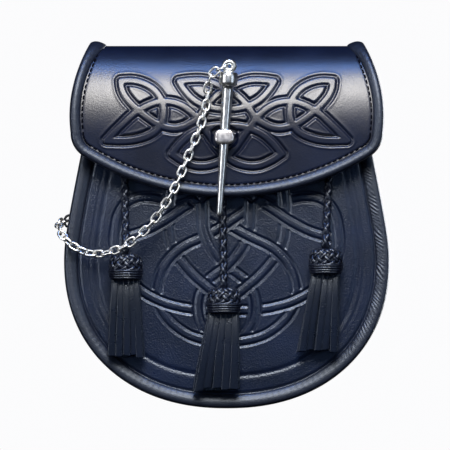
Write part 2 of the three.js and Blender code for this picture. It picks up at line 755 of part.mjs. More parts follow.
// A domed knot over a collar of wraps, turned about its upright axis and a little flat front to back.
function knot(tassel) {
  const profile = [
    { r: 0, z: 0 },
    { r: 0.84, z: 0 },
    { r: 0.93, z: 0.1 },
    { r: 0.93, z: 0.36 },
    { r: 1, z: 0.48 },
    { r: 0.95, z: 0.72 },
    { r: 0.72, z: 0.93 },
    { r: 0.3, z: 1 },
    { r: 0, z: 1 },
  ].map((p) => new THREE.Vector2(p.r * KNOT_D / 2, p.z * KNOT_H));
  const geometry = new THREE.LatheGeometry(profile, 10);
  geometry.rotateX(Math.PI / 2);
  geometry.scale(1, KNOT_DEPTH / KNOT_D, 1);
  geometry.translate(tassel.x, knotY(tassel), tassel.knotZ - KNOT_H);
  return outward(welded(geometry));
}

// A tapered slab hanging from its top edge, given by its ends' middles and half-widths.
function slab(top, foot, frontY, thickness) {
  const corners = [];
  for (const end of [top, foot]) {
    for (const y of [frontY, frontY + thickness]) {
      corners.push(new THREE.Vector3(end.x - end.half, y, end.z));
      corners.push(new THREE.Vector3(end.x + end.half, y, end.z));
    }
  }
  const quads = [[0, 1, 3, 2], [4, 6, 7, 5], [0, 4, 5, 1], [2, 3, 7, 6], [0, 2, 6, 4], [1, 5, 7, 3]];
  const faces = quads.flatMap(([a, b, c, d]) => [[a, b, c], [a, c, d]]);
  return outward(closed(corners, faces));
}

// The skirt: a core with leather strips fused to its face, parted towards their feet.
function skirt(tassel) {
  const topZ = tassel.knotZ - KNOT_H - GAP;
  const middleY = knotY(tassel);
  const coreY = middleY - SKIRT_CORE_T / 2;
  const footX = tassel.x + tassel.swing;
  const core = slab(
    { x: tassel.x, z: topZ, half: tassel.narrow * 0.9 },
    { x: footX, z: topZ - SKIRT_H * 0.94, half: tassel.wide * 0.9 },
    coreY,
    SKIRT_CORE_T,
  );
  let whole = solidOf(core);
  for (let k = 0; k < SKIRT_STRIPS; k += 1) {
    const across = (2 * k + 1) / SKIRT_STRIPS - 1;
    const stagger = (k % 2) * STRIP_T * 0.4;
    const front = slab(
      { x: tassel.x + across * tassel.narrow, z: topZ, half: tassel.narrow / SKIRT_STRIPS + STRIP_SLIT / 4 },
      {
        x: footX + across * tassel.wide,
        z: topZ - SKIRT_H + stagger,
        half: tassel.wide / SKIRT_STRIPS - STRIP_SLIT / 2,
      },
      coreY - STRIP_T + stagger,
      STRIP_T * 1.5,
    );
    whole = whole.add(solidOf(front));
  }
  return geometryOf(whole);
}

function beltLoop(side) {
  const halfSlot = LOOP_SLOT_H / 2;
  const tall = halfSlot + LOOP_FOOT_H;
  const outer = LOOP_SLOT_D + LOOP_T;
  const shape = new THREE.Shape([
    [-tall, 0],
    [-tall, LOOP_T],
    [-halfSlot - LOOP_T, LOOP_T],
    [-halfSlot, outer],
    [halfSlot, outer],
    [halfSlot + LOOP_T, LOOP_T],
    [tall, LOOP_T],
    [tall, 0],
    [halfSlot, 0],
    [halfSlot - LOOP_T, LOOP_SLOT_D],
    [LOOP_T - halfSlot, LOOP_SLOT_D],
    [-halfSlot, 0],
  ].map(([z, y]) => new THREE.Vector2(z, y)));
  const geometry = new THREE.ExtrudeGeometry(shape, { depth: LOOP_W, bevelEnabled: false });
  geometry.applyMatrix4(new THREE.Matrix4().makeBasis(
    new THREE.Vector3(0, 0, 1), new THREE.Vector3(0, 1, 0), new THREE.Vector3(-1, 0, 0),
  ));
  geometry.translate(side * LOOP_SPACING / 2 + LOOP_W / 2, GAP, 0);
  return outward(welded(geometry));
}

add('back_panel', backPanel(), LEATHER);
add('front_panel', frontPanel(), LEATHER);
add('gusset', gusset(), LEATHER);
add('flap', flap(), LEATHER);
add('front_edging', frontEdging(), EDGE_LEATHER);
add('back_edging', backEdging(), EDGE_LEATHER);
add('flap_edging', flapEdging(), EDGE_LEATHER);
add('belt_loop_left', beltLoop(-1), LEATHER);
add('belt_loop_right', beltLoop(1), LEATHER);
add('stud', stud(), METAL);
add('peg', peg(), METAL);
add('chain_staple', chainStaple(), METAL);
for (const tassel of TASSELS) {
  add(`tassel_braid_${tassel.name}`, braid(tassel), LEATHER);
  add(`tassel_knot_${tassel.name}`, knot(tassel), LEATHER);
  add(`tassel_skirt_${tassel.name}`, skirt(tassel), LEATHER);
}

chainLinks().forEach((place, i) => {
  add(`chain_link_${String(i + 1).padStart(2, '0')}`, link(place), METAL);
});

export default object;
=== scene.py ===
# %% [markdown]
# # A leather sporran pouch
# A sporran is the pouch worn in front of a kilt. This one is black leather with a flap that folds
# over the mouth, embossed knotwork, rolled edges, three tassels and a peg on a chain. The lesson
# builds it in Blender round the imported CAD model, so every piece lands where the CAD says.

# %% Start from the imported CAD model
import math

import bmesh
import bpy
import numpy as np
from mathutils.kdtree import KDTree
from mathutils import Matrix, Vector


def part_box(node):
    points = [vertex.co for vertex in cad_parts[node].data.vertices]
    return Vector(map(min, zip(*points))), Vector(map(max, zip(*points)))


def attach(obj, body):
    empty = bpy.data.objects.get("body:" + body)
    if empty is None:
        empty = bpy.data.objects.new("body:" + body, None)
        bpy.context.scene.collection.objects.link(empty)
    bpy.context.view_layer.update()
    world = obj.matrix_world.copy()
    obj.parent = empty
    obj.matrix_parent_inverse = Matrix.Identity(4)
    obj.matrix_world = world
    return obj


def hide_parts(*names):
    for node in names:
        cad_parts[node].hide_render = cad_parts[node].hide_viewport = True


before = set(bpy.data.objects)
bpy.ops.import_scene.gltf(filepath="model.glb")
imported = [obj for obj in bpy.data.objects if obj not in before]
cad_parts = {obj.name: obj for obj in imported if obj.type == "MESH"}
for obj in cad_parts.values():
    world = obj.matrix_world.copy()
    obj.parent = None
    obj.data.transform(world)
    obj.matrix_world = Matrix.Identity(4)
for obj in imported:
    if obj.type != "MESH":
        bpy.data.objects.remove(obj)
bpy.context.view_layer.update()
MM = 0.001

# %% [markdown]
# ## The camera
# The photograph looks straight at the front from far off, so a long lens does the same here. One
# pixel of the photograph is 0.55 mm on the object, and every drawn line below starts as a place in
# that picture, turned into millimetres by one small function.

# %% Camera
PIXEL = 0.55
MIDDLE_PX = 226.8
LEVEL_PX = 122.0
PICTURE = 450
VIEW_DISTANCE = 5000.0
FACE_Y = -40.0


def across(px):
    return (np.asarray(px, float) - MIDDLE_PX) * PIXEL


def upward(py):
    return (LEVEL_PX - np.asarray(py, float)) * PIXEL


camera_data = bpy.data.cameras.new("camera")
camera_data.sensor_width = 36.0
camera_data.lens = 36.0 * VIEW_DISTANCE / (PICTURE * PIXEL)
camera_data.clip_start = 0.05
camera_data.clip_end = 20.0
camera = bpy.data.objects.new("camera", camera_data)
camera.location = (
    float(across(PICTURE / 2)) * MM,
    (FACE_Y - VIEW_DISTANCE) * MM,
    float(upward(PICTURE / 2)) * MM,
)
camera.rotation_euler = (math.pi / 2, 0, 0)
bpy.context.scene.collection.objects.link(camera)
bpy.context.scene.camera = camera
print("lens in mm:", round(camera_data.lens, 1))

# %% [markdown]
# ## Finishes
# Black leather is never one flat black. It has a fine grain, its dye is a little bluer in places,
# and its shine is cool and comes in waxed patches. Each finish is built from noise and cell
# textures in the object's own coordinates, so nothing needs a picture file. The same maker does
# for all the leathers, because they differ only in colour, roughness, grain and shine.

# %% Small helpers for shader nodes


def new_finish(name):
    """A new material, its node tree and its main shader."""
    finish = bpy.data.materials.new(name)
    finish.use_nodes = True
    tree = finish.node_tree
    shader = tree.nodes["Principled BSDF"]
    return finish, tree, shader


def texture(tree, kind, scale, **settings):
    """A noise or cell texture laid in the piece's own coordinates."""
    place = tree.nodes.new("ShaderNodeTexCoord")
    node = tree.nodes.new(kind)
    node.inputs["Scale"].default_value = scale
    for key, value in settings.items():
        node.inputs[key].default_value = value
    tree.links.new(place.outputs["Object"], node.inputs["Vector"])
    return node


def ramp(tree, source, stops):
    """Turns a texture's values into colours between the given stops."""
    node = tree.nodes.new("ShaderNodeValToRGB")
    first, last = node.color_ramp.elements[0], node.color_ramp.elements[1]
    first.position, first.color = stops[0][0], (*stops[0][1], 1)
    last.position, last.color = stops[-1][0], (*stops[-1][1], 1)
    for place, colour in stops[1:-1]:
        node.color_ramp.elements.new(place).color = (*colour, 1)
    tree.links.new(source, node.inputs["Fac"])
    return node


def spread(tree, source, low, high):
    """Stretches a texture's values from 0 to 1 over the range that is wanted."""
    node = tree.nodes.new("ShaderNodeMapRange")
    node.inputs["To Min"].default_value = low
    node.inputs["To Max"].default_value = high
    tree.links.new(source, node.inputs["Value"])
    return node.outputs["Result"]


def bump(tree, source, strength, depth_mm, under=None):
    """Fine relief in the finish, laid over another one if it is given."""
    node = tree.nodes.new("ShaderNodeBump")
    node.inputs["Strength"].default_value = strength
    node.inputs["Distance"].default_value = depth_mm * MM
    tree.links.new(source, node.inputs["Height"])
    if under is not None:
        tree.links.new(under.outputs["Normal"], node.inputs["Normal"])
    return node


# %% Leather, thread and metal
PER_METRE = 1000.0
DYE_CLOUDS = 38.0
WAX_PATCHES = 160.0
PORES_PER_GRAIN = 2.2
WORN_CLOUDS = 420.0
COOL_SHINE = (0.76, 0.86, 1.0)
PLAIN_SHINE = (1.0, 1.0, 1.0)


def leather(name, dark, pale, rough, grain_mm=0.9, grain_depth=0.15, shine=0.5, tint=COOL_SHINE, coat=0.08):
    """Leather from its darkest and palest colour, its roughness from and to, and its grain in mm."""
    finish, tree, shader = new_finish(name)
    cloud = texture(tree, "ShaderNodeTexNoise", DYE_CLOUDS, Detail=5.0, Roughness=0.6)
    colour = ramp(tree, cloud.outputs["Fac"], [(0.32, dark), (0.72, pale)])
    tree.links.new(colour.outputs["Color"], shader.inputs["Base Color"])
    patch = texture(tree, "ShaderNodeTexNoise", WAX_PATCHES, Detail=3.0)
    gloss = spread(tree, patch.outputs["Fac"], rough[0], rough[1])
    tree.links.new(gloss, shader.inputs["Roughness"])
    cells = texture(tree, "ShaderNodeTexVoronoi", PER_METRE / grain_mm)
    pores = texture(tree, "ShaderNodeTexNoise", PER_METRE * PORES_PER_GRAIN / grain_mm, Detail=4.0)
    creases = bump(tree, cells.outputs["Distance"], 0.5, grain_depth)
    skin = bump(tree, pores.outputs["Fac"], 0.35, grain_depth, creases)
    tree.links.new(skin.outputs["Normal"], shader.inputs["Normal"])
    shader.inputs["Specular IOR Level"].default_value = shine
    shader.inputs["Specular Tint"].default_value = (*tint, 1.0)
    shader.inputs["Coat Weight"].default_value = coat
    shader.inputs["Coat Roughness"].default_value = 0.32
    return finish


def metal(name, dark, pale, rough, dent_mm=2.0, dent_depth=0.03):
    """Metal that is worn paler in places, with small dents as wide and deep as given."""
    finish, tree, shader = new_finish(name)
    cloud = texture(tree, "ShaderNodeTexNoise", WORN_CLOUDS, Detail=4.0)
    colour = ramp(tree, cloud.outputs["Fac"], [(0.3, dark), (0.65, pale)])
    tree.links.new(colour.outputs["Color"], shader.inputs["Base Color"])
    gloss = spread(tree, cloud.outputs["Fac"], rough[0], rough[1])
    tree.links.new(gloss, shader.inputs["Roughness"])
    dents = texture(tree, "ShaderNodeTexNoise", PER_METRE / dent_mm, Detail=3.0)
    beaten = bump(tree, dents.outputs["Fac"], 0.5, dent_depth)
    tree.links.new(beaten.outputs["Normal"], shader.inputs["Normal"])
    shader.inputs["Metallic"].default_value = 1.0
    return finish


body_leather = leather("body_leather", (0.002, 0.004, 0.012), (0.005, 0.0095, 0.028), (0.25, 0.33),
                       grain_depth=0.22, shine=0.55)
flap_leather = leather("flap_leather", (0.0015, 0.003, 0.011), (0.004, 0.0075, 0.023), (0.28, 0.37),
                       grain_depth=0.07, tint=PLAIN_SHINE)
edge_leather = leather("edge_leather", (0.002, 0.003, 0.009), (0.006, 0.009, 0.02), (0.4, 0.52),
                       grain_mm=0.7, shine=0.66)
plait_leather = leather("plait_leather", (0.0015, 0.002, 0.006), (0.004, 0.006, 0.015), (0.26, 0.38),
                        grain_mm=0.6)
strip_leather = leather("strip_leather", (0.0005, 0.0015, 0.005), (0.002, 0.004, 0.012), (0.24, 0.33),
                        grain_mm=0.8, grain_depth=0.12, shine=0.55)
waxed_thread = leather("waxed_thread", (0.0005, 0.0005, 0.002), (0.001, 0.0015, 0.004), (0.7, 0.85),
                       grain_mm=0.3, grain_depth=0.05, shine=0.06, coat=0.0)
chain_silver = metal("chain_silver", (0.72, 0.71, 0.68), (0.92, 0.91, 0.87), (0.3, 0.4))
staple_steel = metal("staple_steel", (0.02, 0.02, 0.023), (0.06, 0.06, 0.066), (0.3, 0.45))
peg_silver = metal("peg_silver", (0.56, 0.57, 0.56), (0.82, 0.82, 0.79), (0.27, 0.36),
                   dent_mm=6.0, dent_depth=0.004)
stud_silver = metal("stud_silver", (0.5, 0.47, 0.46), (0.8, 0.77, 0.75), (0.3, 0.45),
                    dent_mm=1.3, dent_depth=0.12)
print("finishes:", len(bpy.data.materials))

# %% [markdown]
# ## Tools for making meshes
# Almost everything here is either a sheet, laid out as a grid of points, or a roll, strap or cord,
# which is a cross-section carried along a path. The first helper turns points and faces into a
# piece with its finish, hangs it under the root body and hides the CAD pieces that it stands for.

# %% Pieces and sweeps


def make_piece(name, points, faces, finish, slot, stands_for=()):
    """A finished piece from points in mm, handed to the frame."""
    mesh = bpy.data.meshes.new(name)
    mesh.from_pydata((np.asarray(points, float) * MM).tolist(), [], faces)
    shell = bmesh.new()
    shell.from_mesh(mesh)
    bmesh.ops.recalc_face_normals(shell, faces=shell.faces)
    shell.to_mesh(mesh)
    shell.free()
    mesh.polygons.foreach_set("use_smooth", [True] * len(mesh.polygons))
    mesh.materials.append(finish)
    piece = bpy.data.objects.new(name, mesh)
    bpy.context.scene.collection.objects.link(piece)
    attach(piece, "root")
    for node in stands_for:
        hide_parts(node)
    print(name, "has", len(mesh.polygons), "faces")
    return piece


def swept(rings, looped=False):
    """A closed skin over rings of points, each joined to the next."""
    rings = np.asarray(rings, float)
    count, sides = rings.shape[:2]
    points = rings.reshape(-1, 3)
    faces = []
    for i in range(count if looped else count - 1):
        a, b = i * sides, ((i + 1) % count) * sides
        for j in range(sides):
            k = (j + 1) % sides
            faces.append((a + j, a + k, b + k, b + j))
    if not looped:
        faces.append(tuple(range(sides)))
        faces.append(tuple(range((count - 1) * sides, count * sides)))
    return points, faces


def joined(parts):
    """Several sets of points and faces as one."""
    points, faces, start = [], [], 0
    for more_points, more_faces in parts:
        points.append(np.asarray(more_points, float))
        faces += [tuple(start + i for i in face) for face in more_faces]
        start += len(more_points)
    return np.concatenate(points), faces


# %% Smooth paths and tubes


def unit(rows):
    """Each row as a direction of length 1."""
    rows = np.asarray(rows, float)
    return rows / np.maximum(np.linalg.norm(rows, axis=-1, keepdims=True), 1e-9)


def full_turn(count):
    """Evenly spaced angles round a circle."""
    return np.linspace(0, 2 * np.pi, count, endpoint=False)


def run_along(line):
    """How far along a line each of its points lies."""
    return np.concatenate([[0], np.cumsum(np.linalg.norm(np.diff(line, axis=0), axis=1))])


def spaced(line, count):
    """The same line with evenly spaced points, and how far along each of them lies."""
    run = run_along(line)
    places = np.linspace(0, run[-1], count)
    return np.stack([np.interp(places, run, row) for row in line.T], axis=1), places


def smooth_path(corners, step, looped=False):
    """A smooth curve through the corners, with points a step apart."""
    corners = np.asarray(corners, float)
    if looped:
        guide = np.vstack([corners[-1:], corners, corners[:2]])
    else:
        guide = np.vstack([2 * corners[0] - corners[1], corners, 2 * corners[-1] - corners[-2]])
    t = np.linspace(0, 1, 24, endpoint=False)[:, None]
    dense = []
    for a, b, c, d in zip(guide, guide[1:], guide[2:], guide[3:]):
        dense.append(0.5 * (2 * b + (c - a) * t + (2 * a - 5 * b + 4 * c - d) * t**2
                            + (3 * b - a - 3 * c + d) * t**3))
    dense = np.vstack(dense + [corners[:1] if looped else corners[-1:]])
    path, _ = spaced(dense, max(3, int(round(run_along(dense)[-1] / step)) + 1))
    return path[:-1] if looped else path


def frames_along(path, looped=False):
    """Direction, side and top at each point of a path, turned as little as can be."""
    if looped:
        ahead = unit(np.roll(path, -1, axis=0) - np.roll(path, 1, axis=0))
    else:
        ahead = unit(np.gradient(path, axis=0))
    side = np.cross(ahead[0], (0.3, 1.0, 0.2))
    sides = []
    for direction in ahead:
        side = side - direction * np.dot(side, direction)
        side = side / np.linalg.norm(side)
        sides.append(side)
    sides = np.array(sides)
    return ahead, sides, np.cross(ahead, sides)


def tube(path, radius, sides=10, looped=False):
    """A round tube along a path, with one radius or one for each point."""
    path = np.asarray(path, float)
    _, side, top = frames_along(path, looped)
    radius = np.broadcast_to(np.asarray(radius, float), (len(path),))
    turn = full_turn(sides)
    rings = (path[:, None] + radius[:, None, None]
             * (np.cos(turn)[None, :, None] * side[:, None] + np.sin(turn)[None, :, None] * top[:, None]))
    return swept(rings, looped)


# %% Shares, steps and ridges


def lerp(a, b, t):
    return a + (b - a) * t


def smoothstep(low, high, v):
    """From 0 below low to 1 above high, with a soft start and end."""
    t = np.clip((np.asarray(v, float) - low) / (high - low), 0, 1)
    return t * t * (3 - 2 * t)


def ridge(v, height, middle, width):
    """A rounded ridge, or a groove where the height is below 0, that fades in two widths."""
    return height * np.exp(-((v - middle) / width) ** 2)


# %% [markdown]
# ## The pouch's outline
# The body is a rounded bag shape: nearly straight sides that spread downward, then a full round
# bottom. The same numbers as in the CAD source give its half width at any height and the front
# face's depth at any place, and every piece of the pouch is fitted to these two.

# %% Body outline and front face
HALF_W = 89.7
WIDEST_Z = -75.9
LOWER_H = 81.7
LOWER_POWER = 2.2
TAPER = 0.205
TAPER_EASE = 15.0
MOUTH_Z = 17.0
BACK_TOP_Z = 30.4
BASE_Z = WIDEST_Z - LOWER_H
MOUTH_DEPTH = 26.0
BASE_DEPTH = 36.0
FRONT_DOME = 2.0
DOME_MIDDLE_Z = -70.3
DOME_HALF = (82.0, 79.6)
PANEL_T = 2.4


def upper_half_width(z):
    return HALF_W - TAPER * (np.hypot(z - WIDEST_Z, TAPER_EASE) - TAPER_EASE)


def front_face(x, z):
    depth = lerp(MOUTH_DEPTH, BASE_DEPTH, (MOUTH_Z - z) / (MOUTH_Z - BASE_Z))
    dome = 1 - (x / DOME_HALF[0]) ** 2 - ((z - DOME_MIDDLE_Z) / DOME_HALF[1]) ** 2
    return -depth - FRONT_DOME * np.maximum(0, dome)


def body_outline(top_z, step):
    """The outer edge as x and z, left top to right top round the base, and how far along it is."""
    high = np.arange(top_z, WIDEST_Z, -step)
    left = np.stack([-upper_half_width(high), high], axis=1)
    turn = np.linspace(0, np.pi / 2, 160)
    power = 2 / LOWER_POWER
    low = np.stack([-HALF_W * np.cos(turn) ** power, WIDEST_Z - LOWER_H * np.sin(turn) ** power], axis=1)
    half = np.vstack([left, low])
    whole = np.vstack([half, half[-2::-1] * (-1, 1)])
    return spaced(whole, int(run_along(whole)[-1] / step))


def inward_of(outline):
    """The direction into the bag at each point of its outline."""
    across_it = unit(np.gradient(outline, axis=0) @ np.array([[0, 1], [-1, 0]]))
    middle = np.array([0, -50.0])
    return across_it * np.sign(np.sum(across_it * (middle - outline), axis=1))[:, None]


print("round the body in mm:", round(body_outline(MOUTH_Z, 1.0)[1][-1]))

# %% [markdown]
# ## The tassel cords
# Each tassel hangs on a round braid of four leather laces. Two laces wind one way and two the
# other, and each dips under where it meets the next, so the braid is made as four thin tubes that
# wind round one path. The photograph shows each braid from the flap down to its knot.

# %% Braid paths
BRAID_D = 4.7
KNOT_D = 18.9
KNOT_DEPTH = 15.0
KNOT_H = 14.0
OFF_PANEL = 0.6
TASSELS = {
    "left": dict(top=(-56.3, -24.0), x=-55.6, knot_z=-72.6, narrow=7.6, wide=10.4, swing=0.4),
    "centre": dict(top=(-2.6, -26.0), x=-1.6, knot_z=-91.0, narrow=8.4, wide=13.4, swing=-4.4),
    "right": dict(top=(56.6, -24.0), x=54.4, knot_z=-69.5, narrow=7.6, wide=11.4, swing=-4.6),
}


def knot_y(tassel):
    """The depth at which a knot hangs just clear of the front panel."""
    return float(front_face(tassel["x"], tassel["knot_z"] - KNOT_H)) - OFF_PANEL - KNOT_DEPTH / 2


def braid_path(tassel):
    top_x, top_z = tassel["top"]
    x, knot_z = tassel["x"], tassel["knot_z"]
    way_x, way_z = lerp(top_x, x, 0.3), top_z - 0.3 * (top_z - knot_z)
    clear = OFF_PANEL + BRAID_D / 2
    corners = [
        (top_x, front_face(top_x, top_z) - clear, top_z),
        (way_x, front_face(way_x, way_z) - clear, way_z),
        (x, knot_y(tassel), knot_z + 5.0),
        (x, knot_y(tassel), knot_z + 0.3),
    ]
    return smooth_path(corners, 0.4)


print("knots hang at z in mm:", [tassel["knot_z"] for tassel in TASSELS.values()])

# %% Braid mesh
LACE_R = 1.2
LAY = 13.2
LACE_RING = 1.0
LACE_WAVE = 0.25


def braid(path):
    """Four laces along a path, two wound each way, each dipping where it meets the next."""
    _, side, top = frames_along(path)
    turn = 2 * np.pi * run_along(path) / LAY
    laces = []
    for hand in (1, -1):
        reach = LACE_RING + hand * LACE_WAVE * np.cos(2 * turn)
        for start in (0, np.pi):
            angle = hand * turn + start
            lace = path + reach[:, None] * (np.cos(angle)[:, None] * side + np.sin(angle)[:, None] * top)
            laces.append(tube(lace, LACE_R, 9))
    return joined(laces)


print("braid across its laces in mm:", round(2 * (LACE_RING + LACE_WAVE + LACE_R), 1))

# %% [markdown]
# ## Knots and skirts
# Each tassel is tied in a woven knot, a dome of one lace that runs round and round, over one turn
# and under the next, above four plain wraps. The woven lace follows one curve on the dome: it
# goes round five times while it swings up and down eleven times, and its crossings are found by
# sorting where it meets itself. Below hangs the skirt, cut from thick leather into separate strips.

# %% Woven knot
LEADS = 5
BIGHTS = 11
WOVEN_LACE_R = 0.92
WEAVE_LIFT = 0.42
WEAVE_MIDDLE = 4.9
WEAVE_SWING = 4.2


def dome_radius(depth):
    """The knot's radius at a depth below its top, as a share of its full radius."""
    depths = [0, 0.5, 1.3, 2.6, 4.4, 7.0, 9.5, 11.5, 14.0]
    return np.interp(depth, depths, [0.3, 0.62, 0.80, 0.92, 0.98, 1.0, 0.98, 0.94, 0.86])


def woven_lace():
    """The closed path of the lace, lifted and sunk in turn at its crossings."""
    places = sorted((np.pi * k / LEADS + np.pi * m / BIGHTS) % (2 * np.pi)
                    for k in range(1, LEADS) for m in range(2 * BIGHTS))
    t = full_turn(1300)
    rank = np.interp(t, [places[-1] - 2 * np.pi] + places + [places[0] + 2 * np.pi],
                     np.arange(-1, len(places) + 1))
    lift = WEAVE_LIFT * np.cos(np.pi * rank)
    depth = WEAVE_MIDDLE - WEAVE_SWING * np.cos(BIGHTS * t)
    radius = (KNOT_D / 2 - WOVEN_LACE_R - WEAVE_LIFT) * dome_radius(depth) + lift
    angle = LEADS * t
    return np.stack([radius * np.cos(angle), radius * np.sin(angle), -depth], axis=1)


def ribbon(path, outward, half_w, half_t, sides=10):
    """A flat-lying lace along a closed path: wide across the surface and thin through it."""
    ahead = unit(np.roll(path, -1, axis=0) - np.roll(path, 1, axis=0))
    side = unit(np.cross(ahead, outward))
    top = np.cross(side, ahead)
    turn = full_turn(sides)
    rings = (path[:, None] + half_w * np.cos(turn)[None, :, None] * side[:, None]
             + half_t * np.sin(turn)[None, :, None] * top[:, None])
    return swept(rings, looped=True)


# %% Core and wraps
LACE_HALF_W = 1.05
CORE_R = KNOT_D / 2 - 1.5
WRAPS = ((9.3, 8.5), (10.6, 8.4), (11.9, 8.2), (13.1, 7.8))
WRAP_R = 0.8
KNOT_SPREAD = 1.04
DOME_CENTRE = (0, 0, -7.5)


def level_ring(radius, depth):
    turn = full_turn(40)
    return np.stack([radius * np.cos(turn), radius * np.sin(turn), np.full(40, -depth)], axis=1)


def knot(tassel):
    """The woven dome over a plain core, with the wraps below it, where the tassel hangs."""
    path = woven_lace()
    parts = [ribbon(path, unit(path - DOME_CENTRE), LACE_HALF_W, WOVEN_LACE_R * 0.7)]
    depths = np.linspace(0.3, KNOT_H - 0.2, 16)
    parts.append(swept([level_ring(CORE_R * float(dome_radius(d)), d) for d in depths]))
    parts += [tube(level_ring(radius, depth), WRAP_R, 8, looped=True) for depth, radius in WRAPS]
    points, faces = joined(parts)
    points = points * (KNOT_SPREAD, KNOT_DEPTH / KNOT_D, 1)
    return points + (tassel["x"], knot_y(tassel), tassel["knot_z"]), faces


print("a knot has", len(knot(TASSELS["centre"])[1]), "faces")

# %% One strip
STRIP_T = 1.7
# Each point of the section: a share of the half width, mm right of that, a share of the half
# thickness.
STRIP_SECTION = (
    (-1, 0, -0.5), (-1, 0.12, -0.88), (-1, 0.4, -1), (-1 / 3, 0, -1), (1 / 3, 0, -1), (1, -0.4, -1),
    (1, -0.12, -0.88), (1, 0, -0.5), (1, 0, 0.6), (1, -0.3, 1), (0, 0, 1), (-1, 0.3, 1), (-1, 0, 0.6),
)
TUCK_FADE = 0.28


def strip(start, end, width_top, width_low, lean, curl, ragged, tucked):
    """One flat strip from start to end, with rounded edges, a slight curl and a tucked-in top."""
    levels = np.concatenate([[0, 0.008], np.linspace(0.04, 0.97, 24), [0.992, 1]])
    rings = []
    for t in levels:
        half = lerp(width_top, width_low, t) / 2
        centre = lerp(np.asarray(start), np.asarray(end), t)
        centre = centre + (lean * math.sin(math.pi * t), curl * math.sin(math.pi * t * 0.9), 0)
        centre = centre + (0, tucked * math.exp(-t / TUCK_FADE), 0)
        section = [(share * half + further, level * STRIP_T / 2) for share, further, level in STRIP_SECTION]
        bow = 0.35 * curl
        rings.append([(centre[0] + a,
                       centre[1] + b - bow * (a / half) ** 2 * t,
                       centre[2] + ragged * t * a / half) for a, b in section])
    return swept(rings)


# %% Skirt of strips
SKIRT_H = 43.0
STRIPS_IN_ROW = (5, 4, 5)
STRIP_LAP_TOP = 1.14
STRIP_LAP_LOW = 1.04
STEP_BACK = 0.5
TUCK_FRONT = 2.8
ROWS_Y_TOP = (-2.6, 2.6)
ROWS_Y_LOW = (-2.4, 2.2)
ROW_SHARE_TOP = (0.9, 0.98, 0.9)
ROW_SHARE_LOW = (0.93, 0.99, 0.93)


def skirt(tassel, seed):
    """Three rows of strips, one behind the other, that spread from the knot to their feet."""
    chance = np.random.default_rng(seed)
    top_z = tassel["knot_z"] - KNOT_H + 1.0
    low_z = tassel["knot_z"] - KNOT_H - 0.3 - SKIRT_H
    parts = []
    for row, count in enumerate(STRIPS_IN_ROW):
        y_top = knot_y(tassel) + lerp(*ROWS_Y_TOP, row / 2)
        y_low = knot_y(tassel) + lerp(*ROWS_Y_LOW, row / 2)
        reach = tassel["narrow"] * ROW_SHARE_TOP[row]
        spread_low = tassel["wide"] * ROW_SHARE_LOW[row]
        for k in range(count):
            share = (k + 0.5) / count * 2 - 1
            width_top = 2 * reach / count * STRIP_LAP_TOP
            width_low = 2 * spread_low / count * STRIP_LAP_LOW
            jog = chance.uniform(-0.5, 0.5)
            step_back = STEP_BACK * (k % 2)
            start_y = y_top + step_back * 0.3 + chance.uniform(-0.15, 0.15)
            end_y = y_low + step_back + chance.uniform(-0.35, 0.35)
            end_z = low_z + chance.uniform(0.2, 2.2)
            lean = chance.uniform(-0.5, 0.5)
            curl = chance.uniform(-0.45, 0.1)
            ragged = chance.uniform(-0.35, 0.35)
            start = (tassel["x"] + share * reach, start_y, top_z)
            end = (tassel["x"] + tassel["swing"] + share * spread_low + jog, end_y, end_z)
            parts.append(strip(start, end, width_top, width_low, lean, curl, ragged, TUCK_FRONT - row))
    return joined(parts)


print("strips in each skirt:", sum(STRIPS_IN_ROW))

# %% Hang the three tassels
for seed, (side_name, tassel) in enumerate(TASSELS.items()):
    path = braid_path(tassel)
    cord_piece = make_piece(f"tassel_braid_{side_name}_laces", *braid(path), plait_leather,
                            "tassel_leather", [f"tassel_braid_{side_name}"])
    knot_piece = make_piece(f"tassel_knot_{side_name}_woven", *knot(tassel), plait_leather,
                            "tassel_leather", [f"tassel_knot_{side_name}"])
    skirt_piece = make_piece(f"tassel_skirt_{side_name}_strips", *skirt(tassel, seed + 3), strip_leather,
                             "tassel_leather", [f"tassel_skirt_{side_name}"])

# %% [markdown]
# ## Knotwork
# The pattern is traditional interlace: a few bands that cross each other and close on themselves.
# Each band is drawn once as a line down its middle and mirrored. The leather is a fine grid, and
# each point of it is raised or lowered by how far it lies from those lines, which gives bands,
# grooves and pillowed fields as real relief.

# %% Bands of the flap and the front panel


def band(pixels, step=0.35):
    """A band's middle line in mm, from places in the photograph."""
    pixels = np.asarray(pixels, float)
    return smooth_path(np.stack([across(pixels[:, 0]), upward(pixels[:, 1])], axis=1), step)


def with_mirror(bands):
    return bands + [line * (-1, 1) for line in bands]


def right_half(pixels):
    """Adds the mirrored way back, for a band that crosses the middle."""
    return pixels + [(2 * MIDDLE_PX - x, y) for x, y in reversed(pixels) if x < MIDDLE_PX - 1]


